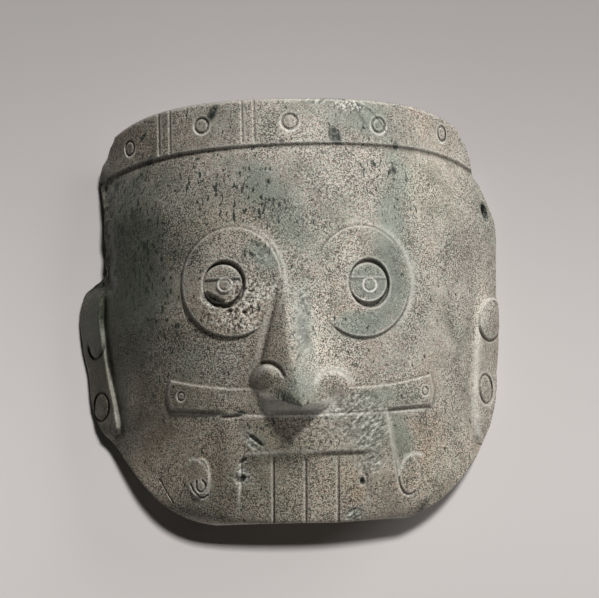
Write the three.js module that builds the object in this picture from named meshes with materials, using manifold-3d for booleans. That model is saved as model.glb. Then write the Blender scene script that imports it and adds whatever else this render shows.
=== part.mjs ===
// Rain god mask: a deep, U-sectioned face carved from one block of speckled greenstone and hollowed behind.
// Millimetres. +Z is the way the face looks, +Y runs from the chin to the headband and +X is to the right
// of someone facing the mask. The flat back rim lies in the plane z = 0, under the centre of the box.
import * as THREE from "three";
import { mergeVertices } from "three/addons/utils/BufferGeometryUtils.js";
import Module from "manifold-3d";

const wasm = await Module();
wasm.setup();

// Driving dimensions of the block
const TOP = 74; // headband's upper edge on the centre line
const BOTTOM = -74; // front edge of the chin
const SIDE = 75; // half width at the cheeks
const EAR_SIDE = 76.2; // half width over the ears
const TEMPLE_TAPER = 9.5; // how much narrower the headband is, on each side
const CHIN_HALF = 29; // half length of the chin's straight front edge
const JAW_START = -17; // where the jaw begins to curve in
const JAW_POWER = 1.85; // roundness of the jaw
const LEFT_FLAT = 2.2; // the left cheek is ground flatter by this much, and the left jaw by twice as much
const FACE_HEIGHT = 67; // face above the rim plane, on the centre line
const BROW_FALL = 4.5; // how far the headband leans back
const CHIN_FALL = 13; // how far the chin leans back
const CHEEK_WALL = 9; // upright wall beside the cheeks
const BAND_WALL = 6; // more of it beside the headband
const JAW_WALL = 35; // and round the jaw
const TOP_DROP = 0.00485; // the top is ground down towards the back: fall per squared millimetre of depth
const CHIN_RECEDE = 12; // how far the rim stays behind the chin's front edge

// The hollow behind the face: half width, reach up and down, depth, and how it leans and rounds
const HOLLOW = { half: 59, up: 38, down: 48, depth: 49, middle: 1, lean: 0.2, plan: 2.9, dome: 2.6 };

// Levels of the carving, measured square to the face
const BAND_LEVEL = 1.1;
const GOGGLE_LEVEL = 1.3;
const IRIS_LEVEL = 0.8;
const UNDER_LID_LEVEL = -0.1;
const PIT_LEVEL = -1.1;
const BAR_LEVEL = 2;
const MOUTH_LEVEL = 1.1;
const TEETH_LEVEL = -0.3;
const TOOTH_GAP_LEVEL = -1.1;
const CURL_LEVEL = 1;
const EAR_LEVEL = 1.3;
const EAR_GROOVE_LEVEL = -1.3;
const LINE_DEPTH = 0.7; // scribed lines and drilled rings, below what they are cut in

// Places and sizes of the carving, seen from straight in front
const BAND = { low: 57.6, arch: 0.0022, lean: 0.015 };
const BAND_LINES = { width: 0.8, at: [-47, -43.2, -18.3, -14.2] };
const STUDS = {
  radius: 3.05,
  line: 0.75,
  at: [[-57.2, 61.3], [-32.3, 65.8], [-1.9, 65.6], [29.8, 65], [54.3, 64.6]],
};
const EYES = [{ goggle: -23, pit: -25.7 }, { goggle: 22.3, pit: 24.9 }];
const GOGGLE = { width: 17.4, height: 19.7, y: 9.2 };
const PIT = { width: 7.4, height: 8.5, line: 1.2, y: 8.9, lid: 2, pupil: 2.6 };
const BAR = {
  left: -42.6, right: 46.4, cap: 3.6, low: -36.4, sag: 0.0013, high: -27.1, level: 16, sweep: 0.0052,
};
const BAR_DOTS = { radius: 1.7, line: 0.6, at: [[-41.1, -29], [44.7, -28.3]] };
const NOSE = { bridge: 13.3, foot: -31.4, lean: -1.9, top: 1.6, bottom: 14.2, rise: 11.6, chevron: 0.33 };
const NOSTRIL = { x: 11.1, y: -27, width: 5.9, height: 7.2, rise: 6.8, under: -32.4, chevron: 0.36 };
const MOUTH = { left: -28.8, right: 31.1, flare: 0.09, lip: -49.4, fang: -61 };
const TEETH = { left: -20.2, right: 22.4, flare: 0.06, line: 0.9, at: [-9.6, 1.6, 13] };
const CURLS = {
  line: 0.75,
  at: [{ x: -35, y: -57.6, width: 3.7, height: 6.7 }, { x: 39, y: -57.6, width: 4.7, height: 7.2 }],
};
const LEFT_EAR = [
  [-66, 15], [-69.5, 13.5], [-73.4, 9.8], [-EAR_SIDE, 3], [-75.6, -9], [-73.6, -18], [-72.8, -26],
  [-70.3, -37], [-67.6, -41.2], [-64, -42], [-62.4, -38], [-65, -21.6], [-68.2, 1],
];
const RIGHT_EAR = [
  [67, 8.2], [73.6, 7.4], [EAR_SIDE, 3], [EAR_SIDE, -6], [75.2, -13], [74.4, -19], [74.7, -25], [73.2, -32],
  [70.9, -38.6], [67.4, -43.4], [63.6, -40], [62, -28], [64, -3],
];
const EAR_GROOVE = { width: 2.6, low: -40, high: 3, left: [-68.1, -0.14], right: [64.2, 0.08] };
const EAR_RINGS = {
  line: 0.8,
  at: [[-70, -7.6, 3, 5.8], [-69, -30.4, 2.7, 5.4], [71.6, -1.5, 3.2, 7.6], [69.5, -26.4, 3, 5.4]],
};
const CORD_HOLE = { x: 71.4, y: 38.4, z: 14, radius: 2.4, waist: 1.6, tilt: 54, length: 10, backX: 64.5 };
const LOST_TEMPLE = [
  [-68.2, 51.5], [-67, 44], [-66.6, 38], [-67, 32], [-66.1, 26], [-66.5, 21], [-65.6, 16.8], [-69.5, 14.8],
  [-73.4, 11.2], [-77, 9.6],
];

const COLUMNS = 32; // facets across the face
const ROWS = 24; // and along it
const BEYOND = 7; // how far a surface runs on before it is trimmed
const FAR = 95; // clear of everything

const share = (from, to, value) => Math.min(1, Math.max(0, (value - from) / (to - from)));

// 0 at `from`, 1 at `to`, and eased between them
function ease(from, to, value) {
  const part = share(from, to, value);
  return part * part * (3 - 2 * part);
}

// Half the front outline at height y, on the side that x is on: rounded jaw, upright cheek, tapered temple
function halfWidth(x, y) {
  const swell = (1 - (1 - share(BOTTOM, JAW_START, y)) ** JAW_POWER) ** (1 / JAW_POWER);
  const even = CHIN_HALF + (SIDE - CHIN_HALF) * swell - TEMPLE_TAPER * ease(30, 62, y);
  const flat = LEFT_FLAT * (ease(-4, -18, y) + ease(-34, -48, y)) * (1 - 0.7 * ease(-50, -76, y));
  return x < 0 ? even - flat : even;
}

// Height of the centre line, without the nose
function centreHeight(y) {
  return FACE_HEIGHT - BROW_FALL * share(12, TOP, y) ** 2 - CHIN_FALL * share(3, BOTTOM, y) ** 2;
}

// Height at which the face meets the walls
function edgeHeight(y) {
  return CHEEK_WALL + BAND_WALL * ease(17, 57, y) + JAW_WALL * ease(-19, -77, y);
}

function faceHeight(x, y) {
  const out = Math.abs(x) / halfWidth(x, y);
  return edgeHeight(y) + (centreHeight(y) - edgeHeight(y)) * (1 - 0.8 * out ** 2 - 0.2 * out ** 6);
}

// A point of the face, moved out along the face's own normal
function facePoint(x, y, level) {
  const step = 0.05;
  const slopeX = (faceHeight(x + step, y) - faceHeight(x - step, y)) / (2 * step);
  const slopeY = (faceHeight(x, y + step) - faceHeight(x, y - step)) / (2 * step);
  const normal = new THREE.Vector3(-slopeX, -slopeY, 1).normalize();
  return new THREE.Vector3(x, y, faceHeight(x, y)).addScaledVector(normal, level);
}

function solidOf(geometry) {
  const bare = geometry.clone();
  bare.deleteAttribute("normal");
  bare.deleteAttribute("uv");
  const merged = mergeVertices(bare, 1e-4);
  const vertProperties = new Float32Array(merged.getAttribute("position").array);
  const triVerts = new Uint32Array(merged.index.array);
  return new wasm.Manifold(new wasm.Mesh({ numProp: 3, vertProperties, triVerts }));
}

function geometryOf(solid) {
  const { vertProperties, triVerts } = solid.getMesh();
  const geometry = new THREE.BufferGeometry();
  geometry.setAttribute("position", new THREE.BufferAttribute(vertProperties, 3));
  geometry.setIndex(new THREE.BufferAttribute(triVerts, 1));
  geometry.computeVertexNormals();
  return geometry;
}

function solidFrom(points, faces) {
  const geometry = new THREE.BufferGeometry().setFromPoints(points);
  geometry.setIndex(faces);
  return solidOf(geometry);
}

// A closed solid through flat loops of points, lowest first, each anticlockwise as seen from above
function loft(loops) {
  const count = loops[0].length;
  const points = loops.flat();
  const faces = [];
  for (let k = 1; k < loops.length; k++) {
    for (let i = 0; i < count; i++) {
      const a = (k - 1) * count + i;
      const b = (k - 1) * count + ((i + 1) % count);
      faces.push(a, b, b + count, a, b + count, a + count);
    }
  }
  const sumOf = (loop) => loop.reduce((sum, point) => sum.add(point), new THREE.Vector3());
  const lid = (loops.length - 1) * count;
  points.push(sumOf(loops[0]).divideScalar(count), sumOf(loops[loops.length - 1]).divideScalar(count));
  for (let i = 0; i < count; i++) {
    const next = (i + 1) % count;
    faces.push(next, i, points.length - 2, lid + i, lid + next, points.length - 1);
  }
  return solidFrom(points, faces);
}

// A closed solid under a grid of points, with upright sides down to z = floor
function drop(grid, floor) {
  const columns = grid[0].length;
  const size = grid.length * columns;
  const top = grid.flat();
  const points = [...top, ...top.map((point) => new THREE.Vector3(point.x, point.y, floor))];
  const faces = [];
  const quad = (a, b, c, d) => faces.push(a, b, c, a, c, d);
  for (let j = 1; j < grid.length; j++) {
    const row = j * columns;
    const last = row - columns;
    for (let i = 1; i < columns; i++) {
      // the diagonals of the two halves mirror each other
      if (2 * i < columns) quad(last + i - 1, last + i, row + i, row + i - 1);
      else quad(last + i, row + i, row + i - 1, last + i - 1);
      quad(size + row + i - 1, size + row + i, size + last + i, size + last + i - 1);
    }
    quad(row, size + row, size + last, last);
    quad(last + columns - 1, size + last + columns - 1, size + row + columns - 1, row + columns - 1);
  }
  for (let i = 1; i < columns; i++) {
    const far = size - columns;
    quad(i - 1, size + i - 1, size + i, i);
    quad(far + i, size + far + i, size + far + i - 1, far + i - 1);
  }
  return solidFrom(points, faces);
}

// Rows of the outline from the chin to above the headband: they crowd where the jaw turns fastest
const rowHeight = (j) => BOTTOM + (TOP + BEYOND - BOTTOM) * (j / ROWS) ** 1.5;

// Everything under the face at one level of the carving, wider than the block on every side
const grounds = new Map();
function ground(level) {
  if (!grounds.has(level)) {
    const heights = [BOTTOM - BEYOND, ...Array.from({ length: ROWS + 1 }, (_, j) => rowHeight(j))];
    const grid = heights.map((y) => {
      const row = [];
      for (let i = 0; i <= COLUMNS; i++) {
        // the columns crowd towards the sides, where the section turns fastest
        const even = (2 * i) / COLUMNS - 1;
        const across = even * (1.25 - 0.25 * even * even);
        row.push(facePoint(across * halfWidth(across, y), y, level));
      }
      const outside = [-1, 1].map((side) => facePoint(side * (halfWidth(side, y) + BEYOND), y, level));
      return [outside[0], ...row, outside[1]];
    });
    grounds.set(level, drop(grid, -BEYOND));
  }
  return grounds.get(level);
}

// An upright prism over a flat outline
function prism(shape, curveSegments = 8) {
  return solidOf(new THREE.ExtrudeGeometry(shape, { depth: FAR, bevelEnabled: false, curveSegments }));
}

const polygon = (points) => new THREE.Shape(points.map(([x, y]) => new THREE.Vector2(x, y)));

function ellipse(x, y, width, height) {
  return new THREE.Shape().absellipse(x, y, width, height, 0, 2 * Math.PI);
}

function ring(x, y, width, height, line) {
  const shape = ellipse(x, y, width, height);
  shape.holes.push(new THREE.Path().absellipse(x, y, width - line, height - line, 0, 2 * Math.PI, true));
  return shape;
}

const raise = (body, shape, level, segments) => body.add(prism(shape, segments).intersect(ground(level)));
const sink = (body, shape, level, segments) =>
  body.subtract(prism(shape, segments).subtract(ground(level)));

// How much narrower a round mark looks from in front, on the slope of the face
function foreshortened(x, y) {
  const slope = faceHeight(x + 0.5, y) - faceHeight(x - 0.5, y);
  return 1 / Math.hypot(1, slope);
}

// Points of the outline from the chin's middle up one side, with the rim's point behind each of them
function sideColumns(side) {
  const chinSteps = 4;
  const columns = [];
  for (let i = 0; i <= chinSteps; i++) {
    const x = (side * halfWidth(side, BOTTOM) * i) / chinSteps;
    columns.push({ x, y: BOTTOM, footX: x, footY: BOTTOM + CHIN_RECEDE });
  }
  for (let j = 1; j <= ROWS; j++) {
    const y = rowHeight(j);
    const x = side * halfWidth(side, y);
    const slope = (halfWidth(side, y + 0.1) - halfWidth(side, y - 0.1)) / 0.2;
    const inset = (CHIN_RECEDE * ease(-25, BOTTOM, y)) / Math.hypot(1, slope);
    columns.push({ x, y, footX: x - side * inset, footY: y + slope * inset });
  }
  return columns;
}

// The walls round the block: upright beside the cheeks, and drawn in towards the rim under the jaw
function walls() {
  const bands = 5;
  const columns = [...sideColumns(1), ...sideColumns(-1).slice(1).reverse()];
  const loopAt = (level, heightOf) =>
    columns.map(({ x, y, footX, footY }) => {
      const inward = (1 - level) ** 1.4;
      return new THREE.Vector3(x + (footX - x) * inward, y + (footY - y) * inward, heightOf(x, y));
    });
  const loops = [loopAt(0, () => -BEYOND)];
  for (let k = 0; k <= bands; k++) loops.push(loopAt(k / bands, (x, y) => (faceHeight(x, y) * k) / bands));
  loops.push(loopAt(1, () => FAR));
  return loft(loops);
}

// What is ground away above the headband, further down towards the back
function topWaste() {
  const steps = 6;
  const front = centreHeight(TOP);
  const profile = new THREE.Shape();
  profile.moveTo(TOP + 3 * BEYOND, FAR);
  profile.lineTo(TOP, FAR);
  for (let k = 0; k <= steps; k++) {
    const z = front - ((front + BEYOND) * k) / steps;
    profile.lineTo(TOP - TOP_DROP * (front - z) ** 2, z);
  }
  profile.lineTo(TOP + 3 * BEYOND, -BEYOND);
  const bar = new THREE.ExtrudeGeometry(profile, { depth: 2 * FAR, bevelEnabled: false });
  const alongX = new THREE.Vector3(1, 0, 0);
  const alongY = new THREE.Vector3(0, 1, 0);
  const alongZ = new THREE.Vector3(0, 0, 1);
  bar.applyMatrix4(new THREE.Matrix4().makeBasis(alongY, alongZ, alongX));
  return solidOf(bar.translate(-FAR, 0, 0));
}

// The bowl behind the face: a superelliptic dome that leans towards the headband
function hollow() {
  const around = 40;
  const bands = 7;
  const power = (value, exponent) => Math.sign(value) * Math.abs(value) ** exponent;
  const loopAt = (z, scale) =>
    Array.from({ length: around }, (_, i) => {
      const turn = (2 * Math.PI * i) / around;
      const reach = Math.sin(turn) > 0 ? HOLLOW.up : HOLLOW.down;
      const x = HOLLOW.half * scale * power(Math.cos(turn), 2 / HOLLOW.plan);
      const y = reach * scale * power(Math.sin(turn), 2 / HOLLOW.plan);
      return new THREE.Vector3(x, HOLLOW.middle + HOLLOW.lean * Math.max(z, 0) + y, z);
    });
  const loops = [loopAt(-BEYOND, 1)];
  for (let k = 0; k <= bands; k++) {
    const height = Math.sin((0.94 * Math.PI * k) / (2 * bands));
    loops.push(loopAt(HOLLOW.depth * height, (1 - height ** HOLLOW.dome) ** (1 / HOLLOW.dome)));
  }
  return loft(loops);
}

function headband(body) {
  const edge = (x) => {
    const inside = Math.min(Math.abs(x), SIDE - TEMPLE_TAPER);
    const depth = centreHeight(BAND.low) - faceHeight(inside, BAND.low);
    return BAND.low + BAND.lean * x - BAND.arch * depth ** 2;
  };
  const reach = SIDE + BEYOND;
  const points = Array.from({ length: 25 }, (_, i) => reach * (i / 12 - 1)).map((x) => [x, edge(x)]);
  body = raise(body, polygon([...points, [reach, TOP + BEYOND], [-reach, TOP + BEYOND]]), BAND_LEVEL);
  const floor = BAND_LEVEL - LINE_DEPTH;
  for (const [x, y] of STUDS.at) {
    const width = STUDS.radius * foreshortened(x, y);
    body = sink(body, ring(x, y, width, STUDS.radius, STUDS.line), floor, 5);
  }
  for (const x of BAND_LINES.at) {
    const [left, right] = [x - BAND_LINES.width / 2, x + BAND_LINES.width / 2];
    const low = edge(x) + 1;
    const high = TOP + BEYOND;
    body = sink(body, polygon([[left, low], [right, low], [right, high], [left, high]]), floor);
  }
  return body;
}

// Round goggles, each with a ringed iris, an eyelid over its upper part and a drilled pupil
function goggles(body) {
  for (const { goggle, pit } of EYES) {
    const below = PIT.y - 2 * PIT.height;
    const lid = PIT.y + PIT.lid;
    const [left, right] = [pit - 2 * PIT.width, pit + 2 * PIT.width];
    body = raise(body, ellipse(goggle, GOGGLE.y, GOGGLE.width, GOGGLE.height), GOGGLE_LEVEL, 9);
    body = sink(body, ellipse(pit, PIT.y, PIT.width, PIT.height), IRIS_LEVEL, 6);
    body = sink(body, ring(pit, PIT.y, PIT.width, PIT.height, PIT.line), PIT_LEVEL, 6);
    const iris = ellipse(pit, PIT.y, PIT.width - PIT.line / 2, PIT.height - PIT.line / 2);
    const underLid = prism(iris, 6)
      .intersect(prism(polygon([[left, below], [right, below], [right, lid], [left, lid]])))
      .subtract(prism(ellipse(pit, PIT.y - 0.4, PIT.pupil * 0.9, PIT.pupil), 4));
    body = body.subtract(underLid.subtract(ground(UNDER_LID_LEVEL)));
  }
  return body;
}

// The bar across the upper lip, with rounded ends that sweep up
function bar(body) {
  const low = (x) => BAR.low + BAR.sag * x * x;
  const high = (x) => BAR.high + BAR.sweep * Math.max(0, Math.abs(x) - BAR.level) ** 2;
  const steps = 12;
  const xs = Array.from({ length: steps + 1 }, (_, i) => BAR.left + ((BAR.right - BAR.left) * i) / steps);
  const shape = polygon(xs.map((x) => [x, low(x)]));
  const endHeight = (x) => (low(x) + high(x)) / 2;
  shape.quadraticCurveTo(BAR.right + BAR.cap, endHeight(BAR.right), BAR.right, high(BAR.right));
  for (const x of xs.reverse().slice(1)) shape.lineTo(x, high(x));
  shape.quadraticCurveTo(BAR.left - 2 * BAR.cap, endHeight(BAR.left), BAR.left, low(BAR.left));
  body = raise(body, shape, BAR_LEVEL, 5);
  for (const [x, y] of BAR_DOTS.at) {
    const mark = ring(x, y, BAR_DOTS.radius * foreshortened(x, y), BAR_DOTS.radius, BAR_DOTS.line);
    body = sink(body, mark, BAR_LEVEL - LINE_DEPTH, 4);
  }
  return body;
}

// A ridge that widens and rises from the bridge down to its blunt tip, with a nostril on each flank that is
// cut off underneath
function nose() {
  const rows = 8;
  const columns = 12;
  const grid = [];
  for (let j = 0; j <= rows; j++) {
    const down = 1 - j / rows;
    const spine = NOSE.bridge + (NOSE.foot - NOSE.bridge) * down;
    const half = NOSE.top + (NOSE.bottom - NOSE.top) * down;
    const row = [];
    for (let i = 0; i <= columns; i++) {
      const across = (2 * i) / columns - 1;
      const x = NOSE.lean * (1 - down) + half * across;
      const y = spine + NOSE.chevron * Math.abs(x) * down * down;
      const ridge = (1 - Math.hypot(across, 0.1) / Math.hypot(1, 0.1)) ** 0.95;
      row.push(new THREE.Vector3(x, y, faceHeight(x, y) - 0.3 + NOSE.rise * down ** 0.8 * ridge));
    }
    grid.push(row);
  }
  // under the tip the stone slopes back to the bar
  const foot = grid[0].map(({ x, y }) => {
    const low = y - 4.6 * (1 - Math.abs(x) / NOSE.bottom);
    return new THREE.Vector3(x, low, faceHeight(x, low) + BAR_LEVEL * (1 - Math.abs(x) / NOSE.bottom));
  });
  const side = NOSTRIL.x + 2 * NOSTRIL.width;
  const wing = NOSTRIL.under + NOSTRIL.chevron * side;
  const above = prism(polygon([[-side, wing], [0, NOSTRIL.under], [side, wing], [side, 0], [-side, 0]]));
  const nostrils = [-1, 1].map((hand) => {
    const lobe = new THREE.SphereGeometry(1, 16, 10);
    lobe.scale(NOSTRIL.width, NOSTRIL.height, NOSTRIL.rise);
    lobe.translate(hand * NOSTRIL.x, NOSTRIL.y, faceHeight(NOSTRIL.x, NOSTRIL.y));
    return solidOf(lobe).intersect(above);
  });
  return nostrils.reduce((sum, lobe) => sum.add(lobe), drop([foot, ...grid], 40));
}

// The lip and its two fangs are one raised panel, with the teeth sunk between the fangs
function mouth(body) {
  const { left, right, flare, lip, fang } = MOUTH;
  const drift = flare * (BAR.low - fang);
  const top = BAR.low + 1;
  const panel = new THREE.Shape();
  panel.moveTo(left, top);
  panel.lineTo(left - drift, fang + 4);
  panel.quadraticCurveTo(left - drift, fang, left + 4, fang);
  panel.lineTo(right - 4, fang);
  panel.quadraticCurveTo(right + drift, fang, right + drift, fang + 4);
  panel.lineTo(right, top);
  body = raise(body, panel, MOUTH_LEVEL, 4);
  const low = BOTTOM - BEYOND;
  const spread = TEETH.flare * (lip - low);
  const row = polygon([
    [TEETH.left - spread, low], [TEETH.right + spread, low], [TEETH.right, lip], [TEETH.left, lip],
  ]);
  body = sink(body, row, TEETH_LEVEL);
  for (const x of TEETH.at) {
    const [a, b] = [x - TEETH.line / 2, x + TEETH.line / 2];
    body = sink(body, polygon([[a, low], [b, low], [b, lip - 1], [a, lip - 1]]), TOOTH_GAP_LEVEL);
  }
  for (const { x, y, width, height } of CURLS.at) {
    body = raise(body, ellipse(x, y, width, height), CURL_LEVEL, 6);
    body = sink(body, ring(x, y - 1, width * 0.6, height * 0.55, CURLS.line), CURL_LEVEL - LINE_DEPTH, 5);
  }
  return body;
}

// A raised ear down each edge of the face, behind a groove and with two drilled rings
function ears(body) {
  for (const outline of [LEFT_EAR, RIGHT_EAR]) body = raise(body, polygon(outline), EAR_LEVEL);
  const { width, low, high } = EAR_GROOVE;
  for (const [x, lean] of [EAR_GROOVE.left, EAR_GROOVE.right]) {
    const at = (y, side) => [x + lean * y + (side * width) / 2, y];
    body = sink(body, polygon([at(low, -1), at(low, 1), at(high, 1), at(high, -1)]), EAR_GROOVE_LEVEL);
  }
  for (const [x, y, across, along] of EAR_RINGS.at) {
    body = sink(body, ring(x, y, across, along, EAR_RINGS.line), EAR_LEVEL - LINE_DEPTH, 5);
  }
  return body;
}

// The cord's hole through the right temple: drilled from outside and from behind until the two met
function cordHole() {
  const { x, y, z, radius, waist, tilt, length, backX } = CORD_HOLE;
  const outside = new THREE.CylinderGeometry(radius, waist, 2 * length, 14).rotateZ(-Math.PI / 2);
  outside.rotateY(THREE.MathUtils.degToRad(tilt - 90)).translate(x, y, z);
  const behind = new THREE.CylinderGeometry(waist, radius, 2 * length, 14).rotateX(Math.PI / 2);
  behind.translate(backX, y, 0);
  return solidOf(outside).add(solidOf(behind));
}

// The left temple's edge, with its own hole, is broken away
function lostTemple() {
  const clear = -SIDE - BEYOND;
  return prism(polygon([[clear, LOST_TEMPLE[0][1]], ...LOST_TEMPLE, [clear, LOST_TEMPLE.at(-1)[1]]]));
}

function mask() {
  let body = [headband, goggles, bar, mouth].reduce((solid, carve) => carve(solid), ground(0));
  body = body.add(nose()).intersect(walls()).subtract(topWaste());
  body = ears(body).subtract(lostTemple()).subtract(cordHole()).subtract(hollow());
  const table = new THREE.BoxGeometry(3 * SIDE, 3 * SIDE, FAR).translate(0, 0, -FAR / 2);
  return body.subtract(solidOf(table)).simplify(0.02);
}

const group = new THREE.Group();
const stone = new THREE.MeshStandardMaterial({ color: 0x8f8c80, roughness: 0.55, metalness: 0 });
const piece = new THREE.Mesh(geometryOf(mask()), stone);
piece.name = "mask";
group.add(piece);

export default group;
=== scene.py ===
"""Looks of a carved greenstone rain god mask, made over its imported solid.

The mask is one closed mesh of carved stone that stands for the solid. Its face is a height field over the
front outline, with small cells where the carving turns and large ones where the stone is plain. Walls, back
rim and hollow close it behind. Sizes are millimetres in the classes below and metres in the meshes, in the
frame of the solid: +Z is the way the face looks and +Y runs from the chin to the headband.
"""

from __future__ import annotations

import logging
import math
from dataclasses import dataclass, field
from enum import Enum

import bpy
import numpy as np
from mathutils import Matrix, Vector


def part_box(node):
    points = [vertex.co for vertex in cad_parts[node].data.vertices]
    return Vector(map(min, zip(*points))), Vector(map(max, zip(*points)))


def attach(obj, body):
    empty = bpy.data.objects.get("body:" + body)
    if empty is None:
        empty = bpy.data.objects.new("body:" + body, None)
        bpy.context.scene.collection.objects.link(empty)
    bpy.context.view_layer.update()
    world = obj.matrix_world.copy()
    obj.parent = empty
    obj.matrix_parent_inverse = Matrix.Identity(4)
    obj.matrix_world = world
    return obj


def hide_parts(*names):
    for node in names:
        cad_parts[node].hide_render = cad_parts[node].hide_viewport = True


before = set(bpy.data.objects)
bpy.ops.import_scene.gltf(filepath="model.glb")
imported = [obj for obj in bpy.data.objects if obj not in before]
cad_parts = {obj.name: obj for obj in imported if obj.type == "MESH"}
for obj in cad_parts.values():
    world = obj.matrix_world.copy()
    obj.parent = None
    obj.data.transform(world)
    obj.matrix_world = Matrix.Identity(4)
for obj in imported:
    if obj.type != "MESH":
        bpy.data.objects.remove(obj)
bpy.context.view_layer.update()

log = logging.getLogger("rain_god_mask")

MM = 0.001
BODY = "root"
NODE = "mask"
IMAGE_WIDTH = 599
STONE_SEED = 411
GRAIN_DEPTH = 0.0004
SPECULAR = 0.4

Field = np.ndarray
Line = tuple[tuple[float, float], ...]
Colour = tuple[float, float, float, float]
Socket = bpy.types.NodeSocket


# Numbers over whole fields


def eased(start: float, end: float, value: Field) -> Field:
    """Eases from 0 to 1 by the cubic 3s² - 2s³ of the share s of the way.

    Args:
        start: Value at which the result leaves 0.
        end: Value at which it reaches 1; it may be below start.
        value: Field of values.

    Returns:
        The eased field.
    """
    share = np.clip((value - start) / (end - start), 0, 1)
    return share * share * (3.0 - 2.0 * share)


def larger_of(first: Field, second: Field, blend: float) -> Field:
    """The larger of two fields, rounded where they meet: their mean plus half the root of gap² + blend²."""
    return 0.5 * (first + second + np.sqrt((first - second) ** 2 + blend * blend))


def bell(value: Field, width: float) -> Field:
    """Bell curve of a value: e to the power of minus the square of value / width."""
    return np.exp(-((value / width) ** 2))


def ellipse_inset(x: Field, y: Field, centre: tuple[float, float], radii: tuple[float, float]) -> Field:
    """Distance inwards from an ellipse, to first order: one minus the scaled radius, over its slope.

    Args:
        x: Field of x.
        y: Field of y.
        centre: Middle of the ellipse.
        radii: Its half width and half height.

    Returns:
        Millimetres inside the ellipse, negative outside.
    """
    across, along = (x - centre[0]) / radii[0], (y - centre[1]) / radii[1]
    radius = np.hypot(across, along) + 1e-6
    slope = np.hypot(across / radii[0], along / radii[1]) / radius + 1e-6
    return (1.0 - radius) / slope


def line_distance(x: Field, y: Field, points: Line, reach: float = 12.0) -> Field:
    """Distance to an open line through points: the smallest distance to any of its straight runs.

    Args:
        x: Field of x.
        y: Field of y.
        points: The line's points.
        reach: Distance past which nothing is worked out.

    Returns:
        Millimetres to the line, and reach where it is further.
    """
    result = np.full(x.shape, reach)
    spots = np.asarray(points)
    low, high = spots.min(axis=0) - reach, spots.max(axis=0) + reach
    near = (x > low[0]) & (x < high[0]) & (y > low[1]) & (y < high[1])
    if not near.any():
        return result
    px, py = x[near], y[near]
    best = np.full(px.shape, reach)
    for (ax, ay), (bx, by) in zip(points[:-1], points[1:]):
        run = (bx - ax) ** 2 + (by - ay) ** 2
        share = np.clip(((px - ax) * (bx - ax) + (py - ay) * (by - ay)) / run, 0, 1)
        best = np.minimum(best, np.hypot(px - ax - share * (bx - ax), py - ay - share * (by - ay)))
    result[near] = best
    return result


def smooth_line(points: Line, steps: int = 5) -> Line:
    """Rounds a line through its points by the Catmull-Rom cubic of each run and its two neighbours.

    Args:
        points: Points on the line.
        steps: New points for each run.

    Returns:
        The rounded line's points.
    """
    knots = np.asarray(points)
    knots = np.concatenate((2.0 * knots[:1] - knots[1:2], knots, 2.0 * knots[-1:] - knots[-2:-1]))
    share = np.arange(steps)[:, None, None] / steps
    before, start, end, after = (knots[k:len(knots) - 3 + k] for k in range(4))
    runs = 0.5 * (2.0 * start + (end - before) * share
                  + (2.0 * before - 5.0 * start + 4.0 * end - after) * share**2
                  + (3.0 * start - before - 3.0 * end + after) * share**3)
    line = np.concatenate((runs.transpose(1, 0, 2).reshape(-1, 2), knots[-2:-1]))
    return tuple(map(tuple, line.tolist()))


def outline_inset(x: Field, y: Field, points: Line) -> Field:
    """Distance inwards from a closed outline: that to its line, positive where a ray crosses it oddly often.

    Args:
        x: Field of x.
        y: Field of y.
        points: The outline's corners, without the first repeated.

    Returns:
        Millimetres inside the outline, negative outside.
    """
    closed = (*points, points[0])
    inside = np.zeros(x.shape, bool)
    for (ax, ay), (bx, by) in zip(closed[:-1], closed[1:]):
        if ay == by:
            continue
        crosses = (ay > y) != (by > y)
        inside ^= crosses & (x < ax + (bx - ax) * (y - ay) / (by - ay))
    distance = line_distance(x, y, closed)
    return np.where(inside, distance, -distance)


class StoneNoise:
    """Seeded gradient noise over points in space, worked out as whole arrays."""

    def __init__(self, seed: int) -> None:
        """Shuffles the lattice's directions from a fixed seed."""
        rng = np.random.default_rng(seed)
        self._order = np.tile(rng.permutation(256), 3).astype(np.int64)
        directions = rng.normal(size=(256, 3))
        self._directions = directions / np.linalg.norm(directions, axis=1, keepdims=True)

    def once(self, points: Field, size: float) -> Field:
        """One octave: the eased mix of each lattice corner's direction times the way to it.

        Args:
            points: Points with their three coordinates on the last axis.
            size: Width of a lump, in the points' unit.

        Returns:
            Values from about -1 to 1.
        """
        scaled = points / size
        cell = np.floor(scaled).astype(np.int64)
        part = scaled - cell
        fade = part * part * part * (part * (part * 6.0 - 15.0) + 10.0)
        total = np.zeros(points.shape[:-1])
        order = self._order
        for corner in np.ndindex(2, 2, 2):
            at = (cell + corner) & 255
            index = order[order[order[at[..., 0]] + at[..., 1]] + at[..., 2]]
            reach = ((part - corner) * self._directions[index]).sum(axis=-1)
            weight = np.ones(points.shape[:-1])
            for axis, upper in enumerate(corner):
                weight = weight * (fade[..., axis] if upper else 1.0 - fade[..., axis])
            total += weight * reach
        return 1.6 * total

    def octaves(self, points: Field, size: float, count: int, keep: float = 0.5) -> Field:
        """Sum of octaves, each half the size and `keep` times the height of the one before.

        Args:
            points: Points with their three coordinates on the last axis.
            size: Width of the largest lumps.
            count: How many octaves.
            keep: Height kept from one octave to the next.

        Returns:
            Values from about -1 to 1.
        """
        total, height, whole = np.zeros(points.shape[:-1]), 1.0, 0.0
        for octave in range(count):
            total += height * self.once(points + 31.7 * octave, size / 2**octave)
            whole += height
            height *= keep
        return total / whole


# Shape of the block


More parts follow.
